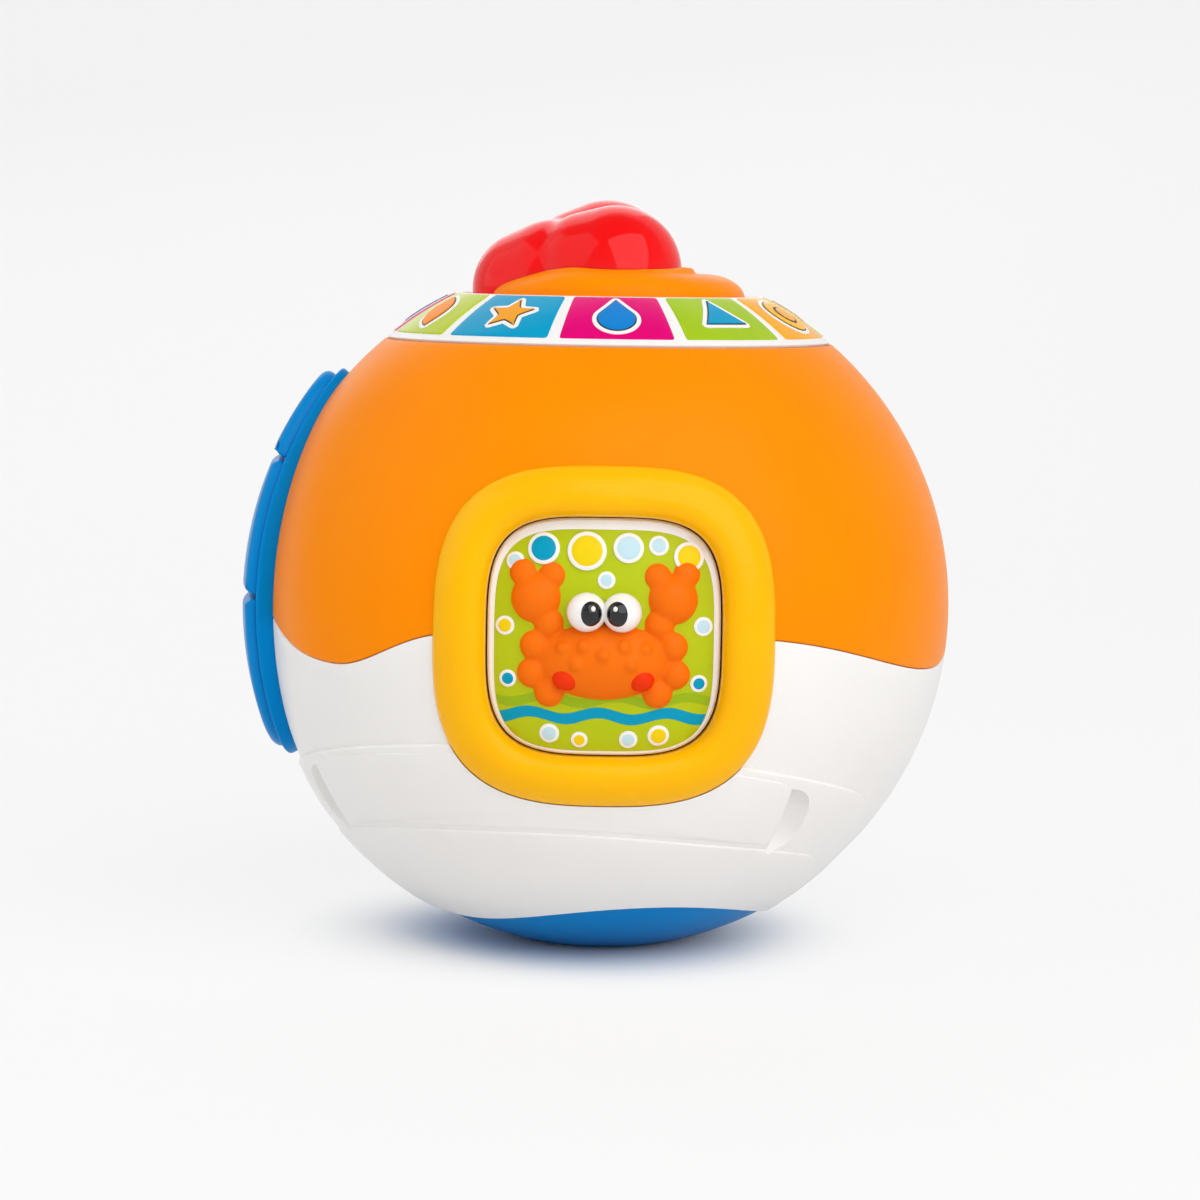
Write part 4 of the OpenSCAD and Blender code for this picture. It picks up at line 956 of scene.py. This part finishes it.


# White moulded ABS: its rim beside the yellow frame shows a faint sheen. Painted light: it is drawn
# brighter and bluer than the shell's white, against the warm shade the yellow frame throws on it.
PLATE_WHITE_PAINTED_LIGHT = plastic("cool white moulded ABS", "#F7FAFD", "#F3F7FB", rough=(0.3, 0.4), gloss=0.1)
plate_line = rounded_square(OPENING_W - PLATE_GAP, OPENING_H - PLATE_GAP, OPENING_POWER)
plate = panel_layer("panel", plate_line, -PLATE_T, 0, edge=PLATE_EDGE)
hand_over(plate, PLATE_WHITE_PAINTED_LIGHT, "crab_panel", "lime_plastic", "panel_plate")
# Ink printed on the plate: flat and even, with a soft sheen.
panel_rough = (0.32, 0.42)
INK_LIME = plastic("lime printing ink", "#BBC916", "#B2C212", panel_rough, cloud_mm=9)
INK_LEAF = plastic("leaf green printing ink", "#9CBB1A", "#94B416", panel_rough)
INK_TEAL = plastic("teal printing ink", "#009FC4", "#0096BC", panel_rough)
INK_YELLOW = plastic("yellow printing ink", "#F2D410", "#ECCC0A", panel_rough)
INK_PALE = plastic("pale blue printing ink", "#C6E4EE", "#BCDEEA", panel_rough)
field_line = rounded_square(FIELD_W, FIELD_H, FIELD_POWER) + (0, FIELD_Y)
field = panel_layer("print_field", field_line, FIELD_SUNK, FIELD_RISE, middle=(0, FIELD_Y))
hand_over(field, INK_LIME, "crab_panel", "lime_plastic")

# %% Waves at the foot of the panel
WAVE_LOW, WAVE_HIGH, SWELL, CRESTS, WAVE_EDGE = 0.05, 0.2, 0.8, 3, 0.1
# Lower and upper edge, and the turn that sets where the crests are
WAVES = (
    ("wave_upper", -15.6, -13.4, 0.4, INK_LEAF, "green_plastic"),
    ("wave_lower", -19.6, -17.0, 2.0, INK_TEAL, "ring_blue_plastic"),
)


def wave_band(name, low, high, turn):
    x = np.linspace(-1, 1, 120)
    ripple = SWELL * np.sin(np.pi * CRESTS * x + turn)
    edges = np.stack([low + ripple, high + ripple])
    half = FIELD_W * (1 - np.abs((edges - FIELD_Y) / FIELD_H) ** FIELD_POWER) ** (1 / FIELD_POWER) - WAVE_EDGE
    line = closed_line((x * half[0], edges[0]), (x * half[1], edges[1]))
    spine = (x * half.mean(axis=0), edges.mean(axis=0))
    spine = closed_line(spine, spine)
    return on_panel(name, [(spine, WAVE_LOW), (line, WAVE_LOW), (line, WAVE_HIGH), (spine, WAVE_HIGH)])


for name, low, high, turn, ink, slot in WAVES:
    hand_over(wave_band(name, low, high, turn), ink, "crab_panel", slot)

# %% Bubbles on the panel
# Across, up and radius in millimetres, and the place of its ink in the list below
BUBBLES = np.array([
    (-14.2, 20.6, 3.2, 0), (-4.2, 20.2, 4.0, 1), (5.4, 21.0, 3.0, 2), (12.4, 21.6, 1.8, 2),
    (19.4, 19.0, 3.0, 1), (-20.8, 17.6, 1.6, 2), (0.4, 13.6, 1.5, 2), (-23.0, 2.6, 1.7, 1),
    (23.0, 3.0, 1.7, 2), (-22.2, -9.8, 1.5, 0), (22.2, -10.4, 1.5, 0), (-12.4, -22.6, 1.8, 2),
    (-5.4, -24.0, 1.4, 1), (13.0, -22.8, 2.0, 1), (6.0, -23.8, 1.6, 2),
])
BUBBLE_INKS = (
    ("teal", INK_TEAL, "ring_blue_plastic"),
    ("yellow", INK_YELLOW, "yellow_plastic"),
    ("pale", INK_PALE, "white_plastic"),
)
BUBBLE_RIM, RIM_LIFT, BUBBLE_LIFT = 0.55, 0.12, 0.24
DISC = [(0, -0.05), (1, -0.05), (1, 0.1), (0.9, 0.16), (0.45, 0.18), (0, 0.18)]


def bubbles(name, rows, grow, lift, ink, slot):
    flat = rows[:, :2]
    level = at_front(flat, panel_level(flat))
    normals = level - at_front(flat * 0, FLAT_BACK)
    places = in_metres(level + normals / np.linalg.norm(normals, axis=1)[:, None] * lift)
    disc = lathe("disc", DISC, turns=40)
    piece = copies(name, disc, places, facing(normals), ink, sizes=rows[:, 2] + grow)
    hand_over(piece, ink, "crab_panel", slot)


bubbles("bubble_rims", BUBBLES, BUBBLE_RIM, RIM_LIFT, INK_WHITE, "white_plastic")
for kind, (name, ink, slot) in enumerate(BUBBLE_INKS):
    bubbles("bubbles_" + name, BUBBLES[BUBBLES[:, 3] == kind], 0, BUBBLE_LIFT, ink, slot)

# %% Crab figure
# Soft vinyl: matt and even, with a fine dimple from the tool.
vinyl_look = {"rough": (0.42, 0.52), "ripple": 0.4, "gloss": 0.1}
CRAB_SKIN = plastic("orange soft vinyl", "#F8780A", "#F26A04", **vinyl_look)
CHEEK = plastic("red soft vinyl", "#F03804", "#E83002", **vinyl_look)
# How deep the lumps and then the finished skin go into the plate, and the grain of that skin
CRAB_SINK, CRAB_FOOT, CRAB_VOXEL = 0.9, 0.6, 0.38
BODY_Y, BODY_LIFT, BODY_HALF = -5, -4.6, (17, 10.5, 10.5)
# Arm, claw, its two tips and three legs, as across, up, lift and radius
CRAB_LIMBS = (
    (12.6, 3.4, -1.26, 4.2), (15.5, 9, -1.95, 6.5), (12.1, 14.2, -0.93, 3.7), (18.7, 14.8, -0.93, 3.7),
    (15.8, -1.8, -0.9, 4.0), (16.4, -8.2, -0.9, 4.0), (12.4, -12.6, -0.9, 4.0),
)
BUMPS = ((-4.6, -1.6), (0, -3.4), (4.6, -1.6), (-9.4, -2.2), (9.4, -2.2), (-6.2, -5.6), (6.2, -5.6))
BUMP_R, BUMP_SINK = 1.8, 0.6


def lump(x, y, lift, half, steps=28):
    """Rows of an ellipsoid that sits on the panel at x and y, with its middle at a lift above it."""
    polar, about = np.linspace(0, np.pi, steps), np.linspace(0, 2 * np.pi, 2 * steps, endpoint=False)
    polar, about = np.meshgrid(polar, about, indexing="ij")
    across = x + half[0] * np.sin(polar) * np.cos(about)
    up = y + half[1] * np.sin(polar) * np.sin(about)
    level = panel_level(np.array([x, y])) - CRAB_SINK + lift
    return at_front(np.stack([across, up], axis=-1), level + half[2] * np.cos(polar))


lumps = [(side * x, y, lift, (r,) * 3) for side in (-1, 1) for x, y, lift, r in CRAB_LIMBS]
for x, y in BUMPS:
    inside = 1 - (x / BODY_HALF[0]) ** 2 - ((y - BODY_Y) / BODY_HALF[1]) ** 2
    lumps.append((x, y, BODY_LIFT + BODY_HALF[2] * math.sqrt(inside) - BUMP_SINK, (BUMP_R,) * 3))
crab = grid_piece("crab", lump(0, BODY_Y, BODY_LIFT, BODY_HALF))
for spec in lumps:
    carve(crab, grid_piece("lump", lump(*spec, steps=20)), "UNION")
print("lumps joined to the crab's body:", len(lumps))

# %% One soft skin for the crab
remesh = crab.modifiers.new("one skin", "REMESH")
remesh.mode, remesh.voxel_size, remesh.use_smooth_shade = "VOXEL", CRAB_VOXEL * MM, True
soften = crab.modifiers.new("soften", "SMOOTH")
soften.factor, soften.iterations = 0.5, 4
settle(crab)
points = np.empty(len(crab.data.vertices) * 3)
crab.data.vertices.foreach_get("co", points)
points = points.reshape(-1, 3) / MM - (0, 0, CENTRE_Z)
ground = panel_level(points[:, (0, 2)]) - CRAB_FOOT
points[:, 1] = -np.maximum(-points[:, 1], ground)
crab.data.vertices.foreach_set("co", in_metres(points).ravel())
shade(crab, 60)
hand_over(crab, CRAB_SKIN, "crab_panel", "soft_orange_plastic", "crab_figure")

# %% Eyes, pupils and cheeks
# Gloss vinyl: smooth and hard, so each eye keeps a small bright highlight.
EYE_WHITE = plastic("white gloss vinyl", "#F6F5F2", "#F1F0ED", rough=(0.14, 0.2), gloss=0.5)
EYE_BLACK = plastic("black gloss vinyl", "#16161A", "#101014", rough=(0.1, 0.16), gloss=0.5)


def pair(name, x, y, lift, half, material, slot, *nodes):
    """Two lumps, left and right of the middle, as one piece."""
    left, right = (grid_piece(name, lump(side * x, y, lift, half, steps=32)) for side in (-1, 1))
    carve(left, right, "UNION")
    shade(left, 80)
    hand_over(left, material, "crab_panel", slot, *nodes)


pair("eyes", 4.1, 6.4, 3.2, (4.6, 4.6, 4.6), EYE_WHITE, "white_plastic", "crab_eyes")
pair("pupils", 3.4, 6.4, 5.8, (2.9, 3.1, 2.45), EYE_BLACK, "dark_plastic", "crab_pupils")
pair("glints", 2.6, 7.6, 7.6, (0.6, 0.7, 0.75), INK_WHITE, "white_plastic")
pair("cheeks", 8.6, -9.2, 2.0, (3.3, 3.0, 3.3), CHEEK, "cheek_red_plastic", "crab_cheeks")

# %% [markdown]
# ## The side keys
# Three blue keys stand in an egg-shaped seat on the left and press in one by one. The seat is a tray
# with a rounded rim. Each key is a pad cut from the smaller egg inside it, with soft corners and a
# generous round, as keys for small hands have. A row of tiny nubs on the lowest key gives grip.

# %% Seat
SEAT_RIM, SEAT_HIGH, SEAT_ROUND, SEAT_CHAMFER = 1.9, 2.2, 0.8, 0.3
SEAT_BACK, SEAT_FLOOR, SEAT_FOOT = -7, -6.5, -3
tray = [(0, SEAT_BACK)] + round_rim(SEAT_FOOT, SEAT_HIGH, SEAT_ROUND)
tray += [(SEAT_RIM - SEAT_CHAMFER, SEAT_HIGH), (SEAT_RIM, SEAT_HIGH - SEAT_CHAMFER), (SEAT_RIM, SEAT_FLOOR)]
seat = pad("key_seat", EGG, tray, EGG_CENTRE, true_radius, fill=10)
hand_over(seat, BASE_BLUE, "ball", "base_blue_plastic", "side_seat")

# %% Keys
KEY_SLIT, KEY_GAP, KEY_SUNK, KEY_ROUND, KEY_HIGH, TOP_KEY_HIGH = 0.6, 0.9, -2.0, 2.3, 4.5, 5.3
KEY_SPLIT = EGG_LAT - 4  # where the egg is parted into an upper and a lower edge
# Latitudes of the cuts that part the keys: the first and the last lie beyond the egg
KEY_CUTS = (-40.0, 1.5, 24.3, 60.0)
KEYS = (
    ("low_key", KEY_HIGH, "key_lower", "lower_key"),
    ("mid_key", KEY_HIGH, "key_middle", "middle_key"),
    ("top_key", TOP_KEY_HIGH, "key_upper", "upper_key"),
)


def key_line(low, high):
    """The outline of the key between two cuts across the egg."""
    dense = even_line(inset_line(EGG, SEAT_RIM + KEY_SLIT), 3000)
    halves = dense[dense[:, 1] >= KEY_SPLIT], dense[dense[:, 1] <= KEY_SPLIT]
    az = np.linspace(dense[:, 0].min(), dense[:, 0].max(), 900)[1:-1]
    bent = np.cos(np.radians(az - SIDE_AZ))
    edges = [np.interp(az, *half[np.argsort(half[:, 0])].T) for half in halves]
    top = np.minimum(edges[0], np.degrees(np.arctan(math.tan(math.radians(high)) * bent)))
    foot = np.maximum(edges[1], np.degrees(np.arctan(math.tan(math.radians(low)) * bent)))
    keep = top > foot + 0.05
    return even_line(closed_line((az[keep], top[keep]), (az[keep], foot[keep])), 260, soften=1.0)


for place, (name, high, body, node) in enumerate(KEYS):
    line = key_line(KEY_CUTS[place] + arc(KEY_GAP / 2), KEY_CUTS[place + 1] - arc(KEY_GAP / 2))
    piece = pad(name, line, round_rim(KEY_SUNK, high, KEY_ROUND), line.mean(axis=0), true_radius, sharp=60)
    hand_over(piece, BLUE, body, "blue_plastic", node)

# %% Nubs on the lowest key
NUB = [(0, -0.6), (1.6, -0.6), (1.5, 0.1), (1.2, 0.5), (0.7, 0.74), (0, 0.82)]
nub_lats = np.linspace(-9, -21, 5)
nub_ways = toward(np.full(len(nub_lats), SIDE_AZ), nub_lats)
nub_places = in_metres(nub_ways * (BALL_R + KEY_HIGH))
nubs = copies("key_nubs", lathe("nub", NUB), nub_places, facing(nub_ways), BLUE)
hand_over(nubs, BLUE, "key_lower", "blue_plastic")

# %% [markdown]
# ## Switch, screws and the works inside
# The power knob slides in a pocket at the back. Grooves run across the way it moves, so a thumb
# can push it. The screws and everything inside keep their CAD shape and get real finishes: steel,
# circuit board, dark moulded cases.

# %% Knob
KNOB_W, KNOB_H, KNOB_MEAN, KNOB_ROUND = 4.48, 3.73, 4.1, 0.5
KNOB_FOOT, KNOB_TOP = SWITCH_LEVEL + 0.2, BALL_R + 1.58
GROOVES, GROOVE_PITCH, GROOVE_HALF, GROOVE_DEEP = 4, 1.7, 0.4, 0.6
GROOVE_LONG, GROOVE_CHAMFER, GROOVE_OUT = 6, 0.2, 2
knob_rows = [(0, KNOB_FOOT - KNOB_TOP), (1, KNOB_FOOT - KNOB_TOP)]
for a in QUARTER:
    knob_rows.append((1 - KNOB_ROUND / KNOB_MEAN * (1 - math.cos(a)), KNOB_ROUND * (math.sin(a) - 1)))
knob_rows += [(s, 0) for s in (0.7, 0.5, 0.3, 0)]
knob = grid_piece("knob", slab(rounded_square(KNOB_W, KNOB_H, SWITCH_POWER, 160), knob_rows, KNOB_TOP))
bar = rounded_square(GROOVE_HALF, GROOVE_LONG, 5, 60)
# Shares of the bar's width and length, and heights, from the groove's floor outward
groove_rows = (
    (0, 0, -GROOVE_DEEP), (0.5, 1, -GROOVE_DEEP), (1, 1, GROOVE_CHAMFER - GROOVE_DEEP),
    (1, 1, GROOVE_OUT), (0, 0, GROOVE_OUT),
)
rows = []
for wide, long, height in groove_rows:
    rows.append(np.column_stack([bar * (wide, long), np.full(len(bar), height - CENTRE_Z)]))
steps = GROOVE_PITCH * (np.arange(GROOVES) - (GROOVES - 1) / 2)
cut_copies(knob, grid_piece("groove", rows), SWITCH_LAT, steps, 0 * steps, KNOB_TOP)
hand_over(knob, DARK, "switch_knob", "dark_plastic", "power_switch")

# %% [markdown]
# ## Return springs
# A coil spring stands under the heart, the panel and each key, out of sight. On the real ball it
# shortens as its piece is pressed. Here a copy of each CAD coil is drawn in steel and tied to the
# ball. It stays rigid: its travel and the end that would give are worked out, but nothing moves them.

# %% Steel copies of the springs
WELD_MM = 0.002
for joint in frame["record"]["behaviour"]["joints"]:
    for squeezed in joint.get("deforming_nodes", []):
        node = squeezed["node"]
        spring = new_object(node.replace("spring", "coil"), frame["nodes"][node].data.copy())
        close_up(spring, WELD_MM * MM, outward=False)
        hand_over(spring, STEEL, "ball", "steel", node)
        travel = max(joint["range_m"], key=abs)
        inward = np.array(joint["axis"]) * np.sign(travel)
        wire = np.array([v.co for v in spring.data.vertices])
        along = wire @ inward
        foot = wire.mean(axis=0) + inward * (along.max() - along.mean())
        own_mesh(spring)

# %% Finishes for the CAD nodes that stay
STAYING = {
    STEEL: ("base_screws", "shell_screws", "battery_contacts"),
    WHITE: ("button_carrier", "panel_back", "leds"),
    BOARD: ("led_board", "main_board"),
    DARK: ("button_switch", "battery_box", "board_chips", "speaker", "switch_body"),
    CELL_WRAP: ("battery_cells",),
}
for material, names in STAYING.items():
    for name in names:
        node = frame["nodes"][name]
        node.data.materials.clear()
        node.data.materials.append(material)
print("CAD nodes with a new finish:", sum(len(names) for names in STAYING.values()))

# %% [markdown]
# ## Stage, light and camera
# A pale sweep of paper runs from the floor up behind the ball, so there is no horizon. Most of the
# light comes from the white room all round. Three large softboxes add to it: one on the left, one in
# front on the right, and one behind. They show as soft panes in the red heart. The camera looks a
# little down, through a long lens.

# %% Paper sweep
PAPER_REACH, PAPER_RIM, PAPER_HIGH = 7.5, 2.4, 4.0
PAPER_FLAT, BEND_AT, BEND_R = 0.3, 0.9, 0.9
bend = np.radians(np.linspace(0, 90, 24))
profile = [(-PAPER_REACH, PAPER_RIM), (-PAPER_REACH, 0.0), (PAPER_FLAT, 0.0)]
profile += [(BEND_AT + BEND_R * math.sin(a), BEND_R - BEND_R * math.cos(a)) for a in bend]
profile += [(BEND_AT + BEND_R, PAPER_HIGH)]
across = ((-PAPER_REACH, PAPER_RIM), (-PAPER_REACH, 0.0), (PAPER_REACH, 0.0), (PAPER_REACH, PAPER_RIM))
points = [(x, y, z + up) for y, z in profile for x, up in across]
corners = [4 * row + col for row in range(len(profile) - 1) for col in range(3)]
mesh = bpy.data.meshes.new("paper_sweep")
mesh.from_pydata(points, [], [(k, k + 1, k + 5, k + 4) for k in corners])
mesh.shade_smooth()
sweep = new_object("paper_sweep", mesh)
print("paper sweep:", len(mesh.polygons), "strips")

# %% Matt paper
# Matt paper has no highlight. Where it is seen, directly or mirrored, most of it is an even white.
# Near the foot of the ball it is plain paper, so that it keeps the ball's own shadow.
SHADOW_SPOT, SHADOW_FULL, SHADOW_GONE, WHITE_SHARE = (-0.008, 0.0, 0.0), 0.024, 0.078, 0.78
paper = bpy.data.materials.new("matt white paper")
paper.use_nodes = True
tree = paper.node_tree
shader = tree.nodes["Principled BSDF"]
shader.inputs["Base Color"].default_value = to_linear("#F6F6F6")
shader.inputs["Roughness"].default_value = 1.0
shader.inputs["Specular IOR Level"].default_value = 0.0
rays = add_node(tree, "ShaderNodeLightPath").outputs
seen = rays["Is Camera Ray"]
for kind in ("Is Glossy Ray", "Is Transmission Ray"):
    seen = add_node(tree, "ShaderNodeMath", {"operation": "MAXIMUM"}, {0: seen, 1: rays[kind]}).outputs[0]
place = add_node(tree, "ShaderNodeTexCoord").outputs["Object"]
spot = {0: place, 1: SHADOW_SPOT}
away = add_node(tree, "ShaderNodeVectorMath", {"operation": "DISTANCE"}, spot).outputs["Value"]
fade = {"Value": away, "From Min": SHADOW_FULL, "From Max": SHADOW_GONE, "To Min": 0.0, "To Max": WHITE_SHARE}
fade = add_node(tree, "ShaderNodeMapRange", {"interpolation_type": "SMOOTHSTEP"}, fade).outputs["Result"]
share = add_node(tree, "ShaderNodeMath", {"operation": "MULTIPLY"}, {0: seen, 1: fade})
glow = add_node(tree, "ShaderNodeEmission", sockets={"Color": to_linear("#F7F7F7"), "Strength": 1.04})
links = {0: share.outputs[0], 1: shader.outputs["BSDF"], 2: glow.outputs["Emission"]}
mixed = add_node(tree, "ShaderNodeMixShader", sockets=links)
tree.links.new(mixed.outputs["Shader"], tree.nodes["Material Output"].inputs["Surface"])
mesh.materials.append(paper)
print("stage finish:", paper.name)

# %% Softboxes and room light
SUBJECT = Vector((0, 0, CENTRE_Z * MM))
ROOM_LEVEL, ROOM_TOP = 0.75, 0.31  # strength of the room's light at eye level and straight above


def softbox(name, place, size, watts):
    lamp = bpy.data.lights.new(name, "AREA")
    lamp.shape, lamp.size, lamp.size_y, lamp.energy = "RECTANGLE", size, size, watts
    box = new_object(name, lamp)
    box.location = place
    box.rotation_euler = (SUBJECT - Vector(place)).to_track_quat("-Z", "Y").to_euler()


softbox("softbox_left", (-1.05, -0.2, 0.72), 1.2, 3.6)
softbox("softbox_right", (0.5, -0.9, 0.9), 1.5, 13.6)
softbox("softbox_behind", (-0.2, 1.1, 0.9), 1.2, 3.4)
world = bpy.data.worlds.new("studio room")
world.use_nodes = True
tree = world.node_tree
tree.nodes["Background"].inputs["Color"].default_value = (1.0, 1.0, 1.0, 1.0)
way = add_node(tree, "ShaderNodeTexCoord").outputs["Generated"]
up = add_node(tree, "ShaderNodeSeparateXYZ", sockets={"Vector": way}).outputs["Z"]
walls = {"Value": up, "From Min": 0.0, "From Max": 1.0, "To Min": ROOM_LEVEL, "To Max": ROOM_TOP}
strength = add_node(tree, "ShaderNodeMapRange", sockets=walls).outputs["Result"]
tree.links.new(strength, tree.nodes["Background"].inputs["Strength"])
bpy.context.scene.world = world
bpy.context.scene.view_settings.view_transform = "Standard"

# %% Camera
ELEVATION, DISTANCE, ROLL = math.radians(5.9), 0.875, math.radians(0.9)
lens = bpy.data.cameras.new("photo_view")
lens.lens, lens.sensor_width, lens.shift_x, lens.shift_y = 102.7, 36.0, -0.00375, 0.0025
camera = new_object("photo_view", lens)
camera.location = SUBJECT + Vector((0, -math.cos(ELEVATION), math.sin(ELEVATION))) * DISTANCE
turned = (SUBJECT - camera.location).to_track_quat("-Z", "Y").to_matrix() @ Matrix.Rotation(ROLL, 3, "Z")
camera.rotation_euler = turned.to_euler()
bpy.context.scene.camera = camera
print("camera at", [round(v, 4) for v in camera.location])
